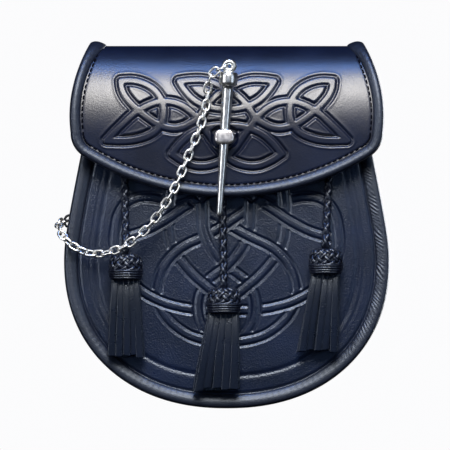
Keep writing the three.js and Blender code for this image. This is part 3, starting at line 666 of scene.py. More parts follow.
CROSSING = (256, 118.5)
FLAP_BANDS = with_mirror([
    band([(333, 80.5), (322, 80), (311, 82.5), (301, 88), (294, 96), (290.5, 105), (290, 114), (292, 122),
          (297, 130), (305, 135.5), (317, 139.5), (330, 141), (347, 140.5)]),
    band([(333, 80.5), (332, 88), (328.5, 96), (322, 104), (315, 110.5), (307, 117), (299, 122.5),
          (290, 126.5), (280, 128.5), (271, 127), (263, 123), CROSSING, (252, 112), (246, 104), (237, 95),
          (226.8, 89), (215, 83), (203, 79.5), (190, 79.5), (179, 81)]),
    band([(347, 140.5), (339, 132), (330, 123), (322, 115.5), (315, 110.5), (306, 105.5), (296, 102),
          (286, 101.5), (276, 103.5), (266, 109), CROSSING, (250, 127), (243, 137), (236, 147),
          (226.8, 156.5), (218, 162.5), (206, 166), (194, 165.5), (182, 160.5), (172, 154)]),
]) + [
    band(right_half([(179, 81), (184, 89), (192, 98), (202, 104.5), (214, 108), (226.8, 109)])),
    band(right_half([(172, 154), (180, 144), (190, 135), (201, 129.5), (214, 126.5), (226.8, 126)])),
]
PANEL_BANDS = with_mirror([
    band([(251, 178), (251.5, 192), (251, 205), (250.5, 215), (250, 228), (245, 242), (237, 255),
          (226.5, 266.5), (217, 273.5), (208, 281), (202, 290), (199, 300), (198.5, 310), (200.5, 320),
          (206, 330), (215, 341), (226.8, 350)]),
    band([(171, 176), (183, 190), (197, 203), (212, 214), (226.8, 224), (240, 232), (255, 239.5),
          (266, 244.5), (276, 251), (285, 260), (292, 271), (296, 284), (296.5, 295), (293, 308),
          (286, 319), (275, 329), (262, 336.5), (245, 341), (226.8, 342)]),
    band([(280, 178), (284, 194), (285.5, 212), (285, 225), (283, 240), (277, 255), (268, 267),
          (258, 277.5), (248, 286), (238, 294), (226.8, 300)]),
    band([(246, 180), (261, 190), (275, 197), (290, 199), (303, 197), (316, 198), (328, 204), (335, 215),
          (338, 228), (339, 245), (335, 262), (327, 277), (314, 290), (300, 298.5), (285, 304.5),
          (265, 309), (245, 310.5), (226.8, 310.5)]),
    band([(232, 176), (247, 192), (262, 203), (275, 211.5), (285, 218.5), (296, 225), (308, 231),
          (320, 235), (331, 237.5), (338.5, 240)]),
])
BANDS_ENDING_UNDER = (4, 9)
print("bands:", len(FLAP_BANDS), "on the flap,", len(PANEL_BANDS), "on the front")

# %% Relief on one level, as on the flap
FLAP_BAND_HALF = 2.35
# How high or deep, how far beside the band and how wide, in mm.
FLAP_GROOVE = (-0.95, 0.25, 0.66)
FLAP_LIP = (0.16, 1.7, 0.7)
FLAP_CROWN = 0.24


def nearest(spots, line, reach):
    """Distance from each spot to a line's points, and which point is nearest, where within reach."""
    tree = KDTree(len(line))
    for i, (x, z) in enumerate(line):
        tree.insert((x, z, 0), i)
    tree.balance()
    far = np.full(len(spots), 99.0)
    which = np.zeros(len(spots), int)
    low, high = line.min(axis=0) - reach, line.max(axis=0) + reach
    inside = np.all((spots > low) & (spots < high), axis=1)
    for i in np.flatnonzero(inside):
        _, index, distance = tree.find((spots[i, 0], spots[i, 1], 0))
        far[i] = distance
        which[i] = index
    return far, which


def level_relief(spots, bands, half):
    """Bands that cross on one level, as pressed on the flap, and how far each place lies beside them."""
    line = np.vstack(bands)
    distance, _ = nearest(spots, line, 9.0)
    beside = distance - half
    groove, lip = ridge(beside, *FLAP_GROOVE), ridge(beside, *FLAP_LIP)
    crown = FLAP_CROWN * smoothstep(0, 0.9, -beside)
    return np.where(distance < 90, groove + lip + crown, 0), beside


def closed_in(beside):
    """Grid places inside the pattern's own fields: those that a flood from the edge can't reach."""
    open_place = beside > 0.5
    reached = np.zeros_like(open_place)
    front = [(0, c) for c in range(open_place.shape[1])]
    while front:
        r, c = front.pop()
        if (0 <= r < reached.shape[0] and 0 <= c < reached.shape[1]
                and open_place[r, c] and not reached[r, c]):
            reached[r, c] = True
            front += [(r + 1, c), (r - 1, c), (r, c + 1), (r, c - 1)]
    return open_place & ~reached


# %% Where the bands of the front panel cross
MEET_WITHIN = 0.45
END_POINTS = 6
SAME_CROSSING = 14


def within_ends(point, line):
    return END_POINTS < point < len(line) - 1 - END_POINTS


def crossings(bands):
    """For each band, in order along it: its own point, the other band and that band's point."""
    marks = [[] for _ in bands]
    for i, first in enumerate(bands):
        for j in range(i + 1, len(bands)):
            second = bands[j]
            near = np.linalg.norm(first[:, None] - second[None], axis=2)
            while near.min() < MEET_WITHIN:
                a, b = np.unravel_index(near.argmin(), near.shape)
                if within_ends(a, first) and within_ends(b, second):
                    marks[i].append((a, j, b))
                    marks[j].append((b, i, a))
                near[max(0, a - SAME_CROSSING):a + SAME_CROSSING + 1,
                     max(0, b - SAME_CROSSING):b + SAME_CROSSING + 1] = 99
    return [sorted(row) for row in marks]


def over_and_under(marks):
    """1 where a band passes over and -1 where it passes under, in turn along each band."""
    over = {}
    for start in range(len(marks)):
        queue = [start]
        while queue:
            i = queue.pop()
            known = [(n, over[(i, a)]) for n, (a, j, b) in enumerate(marks[i]) if (i, a) in over]
            n0, sign0 = known[0] if known else (0, 1)
            for n, (a, j, b) in enumerate(marks[i]):
                if (i, a) not in over:
                    over[(i, a)] = sign0 * (-1) ** (n - n0)
                    over[(j, b)] = -over[(i, a)]
                    queue.append(j)
    return over


def band_levels(bands, end_under):
    """A level for each point of each band. Where two bands meet, the higher one lies on top."""
    marks = crossings(bands)
    over = over_and_under(marks)
    print("crossings:", len(over) // 2)
    levels = []
    for i, line in enumerate(bands):
        run = [a for a, _, _ in marks[i]]
        heights = [over[(i, a)] for a in run]
        if i in end_under:
            run, heights = run + [len(line) - 1], heights + [-3]
        levels.append(np.interp(np.arange(len(line)), run, heights))
    return levels


# %% Woven relief, as on the front panel
PANEL_BAND_HALF = 2.25
PANEL_GROOVE_W = 1.9
PANEL_GROOVE = (-0.7, 0.2, 0.72)
PANEL_LIP = (0.1, 1.8, 0.65)
PANEL_CROWN = 0.12


def woven_relief(spots, bands, half, groove_w, end_under):
    """Bands that pass over and under each other: a low crown, a groove beside it and a faint lip."""
    height = np.zeros(len(spots))
    best = np.full(len(spots), -9.0)
    for line, level in zip(bands, band_levels(bands, end_under)):
        distance, which = nearest(spots, line, half + groove_w + 1)
        beside = distance - half
        here = level[which]
        crown = PANEL_CROWN * smoothstep(0, 1.0, -beside)
        shape = crown + ridge(beside, *PANEL_GROOVE) + ridge(beside, *PANEL_LIP)
        wins = (beside < groove_w) & (here > best)
        height = np.where(wins, shape, height)
        best = np.where(wins, here, best)
    return height


# %% [markdown]
# ## The front panel
# This is a moulded sheet of thick leather. Its grid must fill a straight-sided top and a round
# bottom with even cells, so the lower rows use a known way to fit a square grid into a round. A
# border crease runs 18 mm inside the edge, a second one beside it on the sides only, and the
# leather dips where the rolled edging presses on it.

# %% Front panel grid
EDGE_INSET = 1.7


def body_grid(top_z, rows_hidden, rows_seen, rows_low, columns, inset, seen_z=-30.0):
    """x and z of a grid that fills the body's outline, in rows from the top down."""
    u = np.linspace(-1, 1, columns)
    upper_z = np.concatenate([np.linspace(top_z, seen_z, rows_hidden, endpoint=False),
                              np.linspace(seen_z, WIDEST_Z, rows_seen, endpoint=False)])
    upper_x = u[None] * (upper_half_width(upper_z)[:, None] - inset)
    v = np.linspace(0, 1, rows_low)[:, None]
    disc_x = u[None] * np.sqrt(1 - v**2 / 2)
    disc_z = v * np.sqrt(1 - u[None] ** 2 / 2)
    angle = np.arctan2(disc_z, np.abs(disc_x))
    swell = (np.cos(angle) ** LOWER_POWER + np.sin(angle) ** LOWER_POWER) ** (-1 / LOWER_POWER)
    lower_x = disc_x * swell * (HALF_W - inset)
    lower_z = WIDEST_Z - disc_z * swell * (LOWER_H - inset)
    x = np.vstack([upper_x, lower_x])
    z = np.vstack([np.repeat(upper_z[:, None], columns, axis=1), lower_z])
    return x, z


def two_sided(outer, inner, every):
    """A closed sheet: a fine outer grid, a coarser inner grid and a rim between them."""
    rows, columns = outer.shape[:2]
    inner = inner[::every, ::every]
    back_rows, back_columns = inner.shape[:2]
    start = rows * columns
    index = np.arange(start).reshape(rows, columns)
    back = start + np.arange(back_rows * back_columns).reshape(back_rows, back_columns)
    faces = np.stack([index[:-1, :-1], index[:-1, 1:], index[1:, 1:], index[1:, :-1]], axis=2)
    faces = faces.reshape(-1, 4).tolist()
    back_faces = np.stack([back[:-1, :-1], back[1:, :-1], back[1:, 1:], back[:-1, 1:]], axis=2)
    faces += back_faces.reshape(-1, 4).tolist()
    for fine, coarse in ((index[0], back[0]), (index[-1], back[-1]), (index[:, 0], back[:, 0]),
                         (index[:, -1], back[:, -1])):
        for k in range(len(coarse) - 1):
            rim = list(fine[k * every:(k + 1) * every + 1])
            faces.append([int(i) for i in rim] + [int(coarse[k + 1]), int(coarse[k])])
    return np.concatenate([outer.reshape(-1, 3), inner.reshape(-1, 3)]), faces


def edge_distance(x, z):
    """Rough distance inside the body's outer edge."""
    side = upper_half_width(z) - np.abs(x)
    reach = np.maximum(1e-6, ((np.abs(x) / HALF_W) ** LOWER_POWER
                              + (np.maximum(0, WIDEST_Z - z) / LOWER_H) ** LOWER_POWER) ** (1 / LOWER_POWER))
    low = (1 - reach) * np.hypot(x, WIDEST_Z - z) / reach
    return np.where(z > WIDEST_Z, side, low)


# %% Emboss the front panel
FRONT_ROLL = 7.7
COARSE = 6
BORDER_CREASE = (-0.48, 17.9, 1.3)
SIDE_CREASE = (-0.3, 14.2, 0.7)
ROLL_DIP = (-0.85, FRONT_ROLL + 0.4, 0.8)
panel_x, panel_z = body_grid(MOUTH_Z - 0.6, rows_hidden=30, rows_seen=84, rows_low=163,
                             columns=COARSE * 52 + 1, inset=EDGE_INSET)
panel_rows = (panel_x.shape[0] - 1) // COARSE * COARSE + 1
panel_x, panel_z = panel_x[-panel_rows:], panel_z[-panel_rows:]
spots = np.stack([panel_x.ravel(), panel_z.ravel()], axis=1)
panel_height = woven_relief(spots, PANEL_BANDS, PANEL_BAND_HALF, PANEL_GROOVE_W, BANDS_ENDING_UNDER)
from_edge = edge_distance(panel_x, panel_z)
crease = ridge(from_edge, *BORDER_CREASE)
crease += smoothstep(-125, -95, panel_z) * ridge(from_edge, *SIDE_CREASE)
crease *= smoothstep(-18, -34, panel_z)
crease += ridge(from_edge, *ROLL_DIP)
panel_height = panel_height.reshape(panel_x.shape) + crease
panel_y = front_face(panel_x, panel_z)
panel_outer = np.stack([panel_x, panel_y - panel_height, panel_z], axis=2)
panel_inner = np.stack([panel_x, panel_y + PANEL_T, panel_z], axis=2)
make_piece("front_panel_embossed", *two_sided(panel_outer, panel_inner, COARSE), body_leather,
           "leather", ["front_panel"])

# %% [markdown]
# ## The back panel and the gusset
# The back panel is one plain sheet, and the gusset is the strip that joins front and back. The
# gusset folds inward along its middle like a bellows, so the pouch can swell when it is filled.

# %% Back panel
back_x, back_z = body_grid(BACK_TOP_Z - 0.2, rows_hidden=20, rows_seen=20, rows_low=41,
                           columns=81, inset=EDGE_INSET, seen_z=-20.0)
back_outer = np.stack([back_x, np.full_like(back_x, -0.02), back_z], axis=2)
back_inner = np.stack([back_x, np.full_like(back_x, -PANEL_T), back_z], axis=2)
make_piece("back_panel_sheet", *two_sided(back_outer, back_inner, 1), body_leather,
           "leather", ["back_panel"])

# %% Gusset
GUSSET_T = 1.8
GUSSET_INSET = 3.4
GUSSET_FOLD = 5.5
GUSSET_REAR = -5.0
GUSSET_FRONT_IN = 5.05
outline, gusset_run = body_outline(MOUTH_Z, 1.5)
rings = []
for (x, z), (in_x, in_z) in zip(outline, inward_of(outline)):
    front = float(front_face(x, z)) + GUSSET_FRONT_IN
    ring = []
    for face in (0, 1):
        for t in np.linspace(0, 1, 13) if face == 0 else np.linspace(1, 0, 13):
            fold = GUSSET_FOLD * float(smoothstep(0.12, 0.5, min(t, 1 - t)))
            depth = GUSSET_INSET + fold + (GUSSET_T if face else 0)
            ring.append((x + in_x * depth, lerp(GUSSET_REAR, front, t), z + in_z * depth))
    rings.append(ring)
make_piece("gusset_bellows", *swept(rings), body_leather, "leather", ["gusset"])
print("gusset length in mm:", round(float(gusset_run[-1])))

# %% [markdown]
# ## Rolled edges
# A strip of softer leather is folded round every raw edge and stitched through. It is made as one
# rounded section carried along the edge. On the right side of the front the strip was gathered as
# it was pulled round, which shows as small slanted pleats, and every stitch pulls the roll in a
# little. On the flap the stitches are short capsules of thread laid in the dip beside the roll.

# %% The roll's section and its stitches


def roll_section(width, under, over):
    """Points round a rolled edge: first number is the distance in from the edge, second is up."""
    return np.array([
        (0.0, 0.0), (0.1, over * 0.42), (0.35, over * 0.68), (0.8, over * 0.88), (1.5, over * 0.99),
        (width * 0.36, over * 1.04), (width * 0.54, over), (width * 0.70, over * 0.86),
        (width * 0.87, over * 0.66), (width * 0.97, over * 0.44), (width, over * 0.2),
        (width, under * 0.4), (width * 0.9, under * 0.7), (width * 0.7, under * 0.9),
        (width * 0.5, under), (1.5, under * 0.98), (0.7, under * 0.85), (0.2, under * 0.5),
    ])


def capsule(start, end, radius, lift):
    """One stitch: a short fat thread that dives into the leather at both ends."""
    t = np.linspace(0, 1, 6)[:, None]
    path = lerp(np.asarray(start), np.asarray(end), t) + np.asarray(lift) * np.sin(np.pi * t) ** 0.6
    return tube(path, radius * np.array([0.55, 0.95, 1.0, 1.0, 0.95, 0.55]), 6)


STITCH_PITCH = 3.6
STITCH_L = 2.3
STITCH_R = 0.5


def row_of_stitches(places, points, outward, tangent):
    """Stitches one pitch apart along a seam, each along the seam and bowed a little outward."""
    parts = []
    for at in np.arange(STITCH_PITCH, places[-1] - STITCH_PITCH, STITCH_PITCH):
        i = int(np.searchsorted(places, at))
        reach = tangent[i] * STITCH_L / 2
        parts.append(capsule(points[i] - reach, points[i] + reach, STITCH_R, outward[i] * 0.15))
    return joined(parts)


print("points round a roll:", len(roll_section(7.0, -4.0, 4.0)))

# %% Front edging
ROLL_OVER = 3.75
ROLL_UNDER = -3.95
ROLL_BEHIND = 1.2
GATHER_PITCH = 2.3
GATHER_SLANT = 7.5
GATHER_RISE = 0.3


def gather(x, z, at, share):
    """How far the gathered leather rises on the right, at a share of the roll's width."""
    strength = float(smoothstep(-140, -105, z)) * float(smoothstep(20, 60, x))
    strength *= 0.65 + 0.35 * math.sin(at / 2.9 + 2)
    wander = 0.7 * math.sin(at / 3.7) + 0.5 * math.sin(at / 1.9 + 1)
    pleat = math.sin(2 * math.pi * (at - GATHER_SLANT * share + wander) / GATHER_PITCH)
    return GATHER_RISE * strength * pleat * float(smoothstep(0.3, 0.6, share))


def edge_roll(outline, places, width, face_y, gathers):
    """Rings of a rolled edging round the body, drawn in a little by every stitch."""
    section = smooth_path(roll_section(width, ROLL_UNDER, ROLL_OVER), 0.45 if gathers else 1.0, looped=True)
    rings = []
    for (x, z), (in_x, in_z), at in zip(outline, inward_of(outline), places):
        y = face_y(x, z)
        pucker = 0.03 * math.cos(2 * math.pi * at / STITCH_PITCH)
        ring = []
        for into, up in section:
            share = into / width
            rise = up
            if up > 0:
                rise += pucker * share * 1.4
                if gathers and x > 20 and z > -140:
                    rise += gather(x, z, at, share)
            ring.append((x + in_x * into, y - rise, z + in_z * into))
        rings.append(ring)
    return rings


outline, places = body_outline(MOUTH_Z, 0.42)
rings = edge_roll(outline, places, FRONT_ROLL, lambda x, z: front_face(x, z) + ROLL_BEHIND, True)
make_piece("front_edging_roll", *swept(rings), edge_leather, "edging", ["front_edging"])

# %% Back edging
BACK_ROLL = 7.0
outline, places = body_outline(BACK_TOP_Z - 0.4, 1.2)
rings = edge_roll(outline, places, BACK_ROLL, lambda x, z: -ROLL_BEHIND, False)
make_piece("back_edging_roll", *swept(rings), edge_leather, "edging", ["back_edging"])

# %% [markdown]
# ## The flap
# The flap is sewn to the back, rises over the top and comes down the front in one bend. Its
# profile is two quarter ellipses and a straight drop. The grid follows that profile, and the
# height of the knotwork is added along the surface's own direction, so the relief wraps the bend.

# %% Flap profile
FLAP_HALF_W = 86.6
FLAP_WIDEST_Z = 3.6
FLAP_TAPER = 0.00693
FLAP_BOTTOM_Z = -41.25
BOW_R = 150.0
CORNER_R = 15.0
CREST_Y = -12.0
LAP_Y = 2.5
LAP_Z = 24.5
REAR_TOP = 31.0
REAR = (14.5, 11.35)
FRONT_BEND_Z = -8.4
FRONT = (27.5, 50.75)
CROWN = 2.5
FLAP_T = 2.2
STUD_X, STUD_Z = -1.3, -8.25
BELOW_BOTTOM = 4.0

quarter = np.linspace(0, np.pi / 2, 90)
drop_z = np.linspace(FRONT_BEND_Z, FLAP_BOTTOM_Z - BELOW_BOTTOM, 60)
profile = np.vstack([
    np.stack([np.full(12, LAP_Y), np.linspace(LAP_Z, REAR_TOP, 12)], axis=1),
    np.stack([CREST_Y + REAR[0] * np.cos(quarter), REAR_TOP + REAR[1] * np.sin(quarter)], axis=1)[1:],
    np.stack([CREST_Y - FRONT[0] * np.sin(quarter), FRONT_BEND_Z + FRONT[1] * np.cos(quarter)], axis=1)[1:],
    np.stack([np.full(60, CREST_Y - FRONT[0]), drop_z], axis=1)[1:],
])
profile_run = run_along(profile)
profile_ahead = unit(np.gradient(profile, axis=0))
crest_at = int(np.argmax(profile[:, 1]))
rear_end, bend_end = profile_run[crest_at], profile_run[crest_at + len(quarter) - 1]
print("flap length in mm:", round(float(profile_run[-1]) - BELOW_BOTTOM, 1))


def flap_half_width(z):
    return FLAP_HALF_W - FLAP_TAPER * (z - FLAP_WIDEST_Z) ** 2


def run_at(z):
    """How far along the profile the front of the flap is at height z."""
    return np.interp(-np.asarray(z, float), -profile[crest_at:, 1], profile_run[crest_at:])


def flap_point(x, run, lift=0.0):
    """A point on the flap's outer face, lifted along the surface's own direction."""
    y = np.interp(run, profile_run, profile[:, 0])
    z = np.interp(run, profile_run, profile[:, 1])
    ahead_y = np.interp(run, profile_run, profile_ahead[:, 0])
    ahead_z = np.interp(run, profile_run, profile_ahead[:, 1])
    size = np.hypot(ahead_y, ahead_z)
    out_y, out_z = ahead_z / size, -ahead_y / size
    y = y - CROWN * smoothstep(rear_end, bend_end, run) * (1 - (x / FLAP_HALF_W) ** 2)
    return np.stack([x, y + out_y * lift, z + out_z * lift], axis=-1), out_y, out_z


bow_z = FLAP_BOTTOM_Z + BOW_R
corner_x = FLAP_HALF_W - CORNER_R - 0.6
corner_z = bow_z - math.sqrt((BOW_R - CORNER_R) ** 2 - corner_x**2)
touch_x = corner_x * BOW_R / (BOW_R - CORNER_R)
touch_z = bow_z - (bow_z - corner_z) * BOW_R / (BOW_R - CORNER_R)


def flap_edge_x(z, inset):
    """Half width of the flap's outline at height z, corners and bowed bottom included."""
    side = flap_half_width(z) - inset
    arc = corner_x + np.sqrt(np.maximum(0, (CORNER_R - inset) ** 2 - (z - corner_z) ** 2))
    bow = np.sqrt(np.maximum(0, (BOW_R - inset) ** 2 - (bow_z - z) ** 2))
    low_touch = corner_z + (touch_z - corner_z) * (CORNER_R - inset) / CORNER_R
    return np.where(z > corner_z, side, np.where(z > low_touch, arc, bow))


def flap_bottom_z(x, inset):
    """Height of the flap's lower edge at x."""
    bow = bow_z - np.sqrt((BOW_R - inset) ** 2 - x**2)
    reach = np.abs(x) - corner_x
    arc = corner_z - np.sqrt(np.maximum(0, (CORNER_R - inset) ** 2 - reach**2))
    low_touch = corner_x + (touch_x - corner_x) * (CORNER_R - inset) / CORNER_R
    return np.where(np.abs(x) > low_touch, arc, bow)


# %% The flap's edge and its seam
FLAP_ROLL = 6.1
SEAM_IN = FLAP_ROLL + 0.9


def flap_outline(step):
    """The flap's edge as x and run, from the left end of the lap round the front to the right."""
    side_runs = np.linspace(0.2, float(run_at(corner_z)), 160)
    side_zs = np.interp(side_runs, profile_run, profile[:, 1])
    side = np.stack([-flap_half_width(side_zs), side_runs], axis=1)
    angles = np.linspace(0, math.atan2(bow_z - corner_z, corner_x), 40)[1:]
    corner = np.stack([-(corner_x + CORNER_R * np.cos(angles)),
                       run_at(corner_z - CORNER_R * np.sin(angles))], axis=1)
    bow_x = np.linspace(-touch_x, 0, 120)[1:]
    bow = np.stack([bow_x, run_at(bow_z - np.sqrt(BOW_R**2 - bow_x**2))], axis=1)
    half = np.vstack([side, corner, bow])
    whole = np.vstack([half, half[-2::-1] * (-1, 1)])
    return spaced(whole, int(run_along(whole)[-1] / step))


edge, places = flap_outline(0.5)
edge_inward = unit(np.gradient(edge, axis=0)) @ np.array([[0, 1], [-1, 0]])
if edge_inward[0, 0] < 0:
    edge_inward = -edge_inward
seam = edge + edge_inward * SEAM_IN
print("round the flap's edge in mm:", round(float(places[-1]), 1))

# %% The flap's grid
FLAP_COARSE = 4
FLAP_COLUMNS = FLAP_COARSE * 82 + 1
u = np.linspace(-1, 1, FLAP_COLUMNS)
rear_runs = np.linspace(0.6, rear_end, 17, endpoint=False)
front_runs = np.linspace(rear_end, float(run_at(corner_z)), 104, endpoint=False)
runs = np.concatenate([rear_runs, front_runs])
row_z = np.interp(runs, profile_run, profile[:, 1])
upper_x = u[None] * (flap_half_width(row_z)[:, None] - EDGE_INSET)
upper_run = np.repeat(runs[:, None], FLAP_COLUMNS, axis=1)
share = np.linspace(0, 1, 76)[:, None]
end_z = corner_z - 11.0
end_x = u[None] * flap_edge_x(np.array(end_z), EDGE_INSET)
lower_z = corner_z + share * (flap_bottom_z(end_x, EDGE_INSET) - corner_z)
side_z = corner_z + share * (end_z - corner_z)
lower_x = u[None] * flap_edge_x(side_z, EDGE_INSET)
flap_x = np.vstack([upper_x, lower_x])
flap_run = np.vstack([upper_run, run_at(lower_z)])
spare = (flap_x.shape[0] - 1) % FLAP_COARSE
flap_x, flap_run = flap_x[spare:], flap_run[spare:]
print("flap grid:", flap_x.shape)

# %% Emboss the flap
FIELD_RISE = 0.5
SLOT_HALF = (3.2, 2.0)
SLOT_DEPTH = 1.7
SEAM_DEPTH = 0.2
SEAM_W = 0.6
SEAM_PULL = 0.15
FAR_OFF = 200
flat, _, _ = flap_point(flap_x, flap_run)
seen = flap_run > rear_end
spots = np.stack([flap_x.ravel(), np.where(seen, flat[:, :, 2], FAR_OFF).ravel()], axis=1)
flap_height, beside = level_relief(spots, FLAP_BANDS, FLAP_BAND_HALF)
flap_height, beside = flap_height.reshape(flap_x.shape), beside.reshape(flap_x.shape)
field = closed_in(beside)
flap_height = flap_height + np.where(field, FIELD_RISE * smoothstep(0.6, 1.7, beside), 0)
slot_reach = np.hypot(np.maximum(0, np.abs(flap_x - STUD_X) - SLOT_HALF[0]),
                      np.maximum(0, np.abs(flat[:, :, 2] - STUD_Z) - SLOT_HALF[1]))
slot = SLOT_DEPTH * (1 - smoothstep(3.2, 4.3, slot_reach))
flap_height = np.where(seen, flap_height - slot, flap_height)
print("raised fields cover", int(field.sum()), "of", field.size, "grid places")
seam_distance, seam_index = nearest(np.stack([flap_x.ravel(), flap_run.ravel()], axis=1), seam, 3.0)
pull = 1 + SEAM_PULL * np.cos(2 * np.pi * (places[seam_index] / STITCH_PITCH + 0.5))
seam_groove = pull * ridge(seam_distance, SEAM_DEPTH, 0, SEAM_W)
flap_height = flap_height - seam_groove.reshape(flap_x.shape)
flap_outer, _, _ = flap_point(flap_x, flap_run, flap_height)
flap_inner, _, _ = flap_point(flap_x, flap_run, -FLAP_T)
make_piece("flap_embossed", *two_sided(flap_outer, flap_inner, FLAP_COARSE), flap_leather,
           "leather", ["flap"])

# %% Flap edging
FLAP_ROLL_UNDER = -2.8
FLAP_ROLL_OVER = 3.6
TIP_FULLER = 0.6
TIP_REACH = 11.0
section = smooth_path(roll_section(FLAP_ROLL, FLAP_ROLL_UNDER, FLAP_ROLL_OVER), 0.7, looped=True)
rings = []
for (x, run), (in_x, in_run), at in zip(edge, edge_inward, places):
    pucker = 0.04 * math.cos(2 * math.pi * at / STITCH_PITCH)
    wider = 1 + ridge(run, TIP_FULLER, rear_end, TIP_REACH)
    into, up = section[:, 0] * wider, section[:, 1]
    lift = up - FLAP_T / 2 + np.where(up > 0, pucker * into / FLAP_ROLL, 0)
    ring, _, _ = flap_point(x + in_x * into, run + in_run * into, lift)
    rings.append(ring)
make_piece("flap_edging_roll", *swept(rings), edge_leather, "edging", ["flap_edging"])

# %% Flap stitches
STITCH_SUNK = 0.12
seam_line, out_y, out_z = flap_point(seam[:, 0], seam[:, 1], -STITCH_SUNK)
seam_out = np.stack([np.zeros(len(out_y)), out_y, out_z], axis=1)
seam_ahead = unit(np.gradient(seam_line, axis=0))
make_piece("flap_stitches", *row_of_stitches(places, seam_line, seam_out, seam_ahead),
           waxed_thread, "edging")

# %% [markdown]
# ## Belt loops
# Two straps on the back take the sporran's belt. The photograph doesn't show them, so they are
# plain: a strap bowed out from the panel, sewn down at both feet.

# %% Belt loops
LOOP_W = 24.0
LOOP_T = 2.6
LOOP_FACE_Y = 8.9
LOOP_SEWN_Y = 0.35
LOOP_HALF_H = 24.0
LOOP_X = 38.0


def belt_loop(x_mid):
    """A strap bowed out from the back, drawn as one half from foot to middle and mirrored."""
    low, high = LOOP_SEWN_Y + LOOP_T / 2, LOOP_FACE_Y - LOOP_T / 2
    half_line = [(low, LOOP_HALF_H), (low, 20.5), (1.9 + LOOP_T / 2, 17.6), (5.4, 15.4), (high, 11.5)]
    corners = [(y, -z) for y, z in half_line] + [(high, 0)] + half_line[::-1]
    line = smooth_path(corners, 0.8)
    across_line = unit(np.gradient(line, axis=0)) @ np.array([[0, -1], [1, 0]])
    half, thick = LOOP_W / 2, LOOP_T / 2
    section = [(-half, 0), (-half + 0.3, thick * 0.75), (-half + 1, thick), (-half + 3, thick), (0, thick),
               (half - 3, thick), (half - 1, thick), (half - 0.3, thick * 0.75), (half, 0),
               (half - 0.3, -thick * 0.75), (half - 1, -thick), (0, -thick), (-half + 1, -thick),
               (-half + 0.3, -thick * 0.75)]
    rings = [[(x_mid + a, y + n_y * b, z + n_z * b) for a, b in section]
             for (y, z), (n_y, n_z) in zip(line, across_line)]
    return swept(rings)


def loop_stitches(x_mid):
    """Two short rows of stitches at each foot."""
    parts = []
    for end in (-1, 1):
        for z in (21.0, 23.0):
            for x in np.arange(-LOOP_W / 2 + 2.6, LOOP_W / 2 - 2, STITCH_PITCH):
                start = (x_mid + x, LOOP_SEWN_Y + LOOP_T, end * z)
                parts.append(capsule(start, np.add(start, (STITCH_L, 0, 0)), 0.42, (0, 0.25, 0)))
    return joined(parts)


for side_name, x_mid in (("left", -LOOP_X), ("right", LOOP_X)):
    make_piece(f"belt_loop_{side_name}_strap", *belt_loop(x_mid), edge_leather, "leather",
               [f"belt_loop_{side_name}"])
    make_piece(f"belt_loop_{side_name}_stitches", *loop_stitches(x_mid), waxed_thread, "leather")

# %% [markdown]
# ## The chain
# The chain is made of oval links, each turned a quarter from the next. The CAD has every link as
# a plain faceted ring, so each smooth link is fitted to it: the ring's own long, wide and thin
# directions come from how its corners spread. The staple at the far end stays the CAD's own, in
# dark steel.

# %% Smooth links
LINK_LONG = 7.6
LINK_WIDE = 5.3
WIRE = 1.32


def link(node):
    """An oval ring of wire that lies where the CAD's link lies."""
    corners = np.array([node.matrix_world @ v.co for v in node.data.vertices]) / MM
    centre = corners.mean(axis=0)
    _, axes = np.linalg.eigh(np.cov((corners - centre).T))
    wide, long = axes[:, 1], axes[:, 2]
    turn = full_turn(44)
    half_long, half_wide = (LINK_LONG - WIRE) / 2, (LINK_WIDE - WIRE) / 2
    straight = half_long - half_wide
    shift = straight * np.tanh(3.0 * np.cos(turn))
    path = (centre + (shift + half_wide * np.cos(turn))[:, None] * long
            + (half_wide * np.sin(turn))[:, None] * wide)
    return tube(path, WIRE / 2, 10, looped=True)


links = sorted(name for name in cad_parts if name.startswith("chain_link"))
for name in links:
    make_piece(name + "_oval", *link(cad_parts[name]), chain_silver, "chain_metal", [name])
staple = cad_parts["chain_staple"]
staple.data.materials.clear()
staple.data.materials.append(staple_steel)
print("links:", len(links))

# %% [markdown]
# ## The peg and the stud
# The peg slides down through the stud to hold the flap shut. It is turned metal: a barrel collar
# on a long taper, with an eye for the chain. The stud is a cast block with soft corners.

# %% Peg
PEG_LEAN = math.radians(3.8)
PEG_Y = -46.95
PEG_ABOVE = 28.0
PEG_LENGTH = 71.5


def on_peg(side, depth, down):
    """A point given from the peg's top: to the side, toward the back, and down its length."""
    axis = np.array([-math.sin(PEG_LEAN), 0.0, -math.cos(PEG_LEAN)])
    right = np.array([math.cos(PEG_LEAN), 0.0, -math.sin(PEG_LEAN)])
    top = np.array([STUD_X, PEG_Y, STUD_Z]) - axis * PEG_ABOVE
    return top + right * side + np.array([0.0, 1.0, 0.0]) * depth + axis * down


def turned(outline):
    """A solid turned round the peg's axis, from radii and how far down the peg they lie."""
    return swept([[on_peg(r * math.cos(a), r * math.sin(a), down) for a in full_turn(40)]
                  for r, down in outline])


SHAFT_R = 3.1
POINT_R = 1.45
EYE_DOWN = -11.0
EYE_HALF = (2.6, 2.4)
EYE_WIRE_R = 1.55
shaft = [(0.4, -8.0), (3.0, -7.9), (4.4, -7.6), (4.95, -6.9), (5.15, -5.6), (5.15, -2.4), (4.95, -1.1),
         (4.4, -0.35), (3.5, -0.05), (SHAFT_R, 0.1), (SHAFT_R, 2.0)]
shaft += [(lerp(SHAFT_R, POINT_R, t), 2 + t * (PEG_LENGTH - 3.0)) for t in np.linspace(0.04, 1, 30)]
shaft += [(1.2, PEG_LENGTH - 0.4), (0.6, PEG_LENGTH - 0.05), (0.1, PEG_LENGTH)]
eye_path = [on_peg(EYE_HALF[0] * math.cos(a), 0, EYE_DOWN + EYE_HALF[1] * math.sin(a))
            for a in full_turn(44)]
peg_mesh = joined([turned(shaft), tube(eye_path, EYE_WIRE_R, 12, looped=True)])
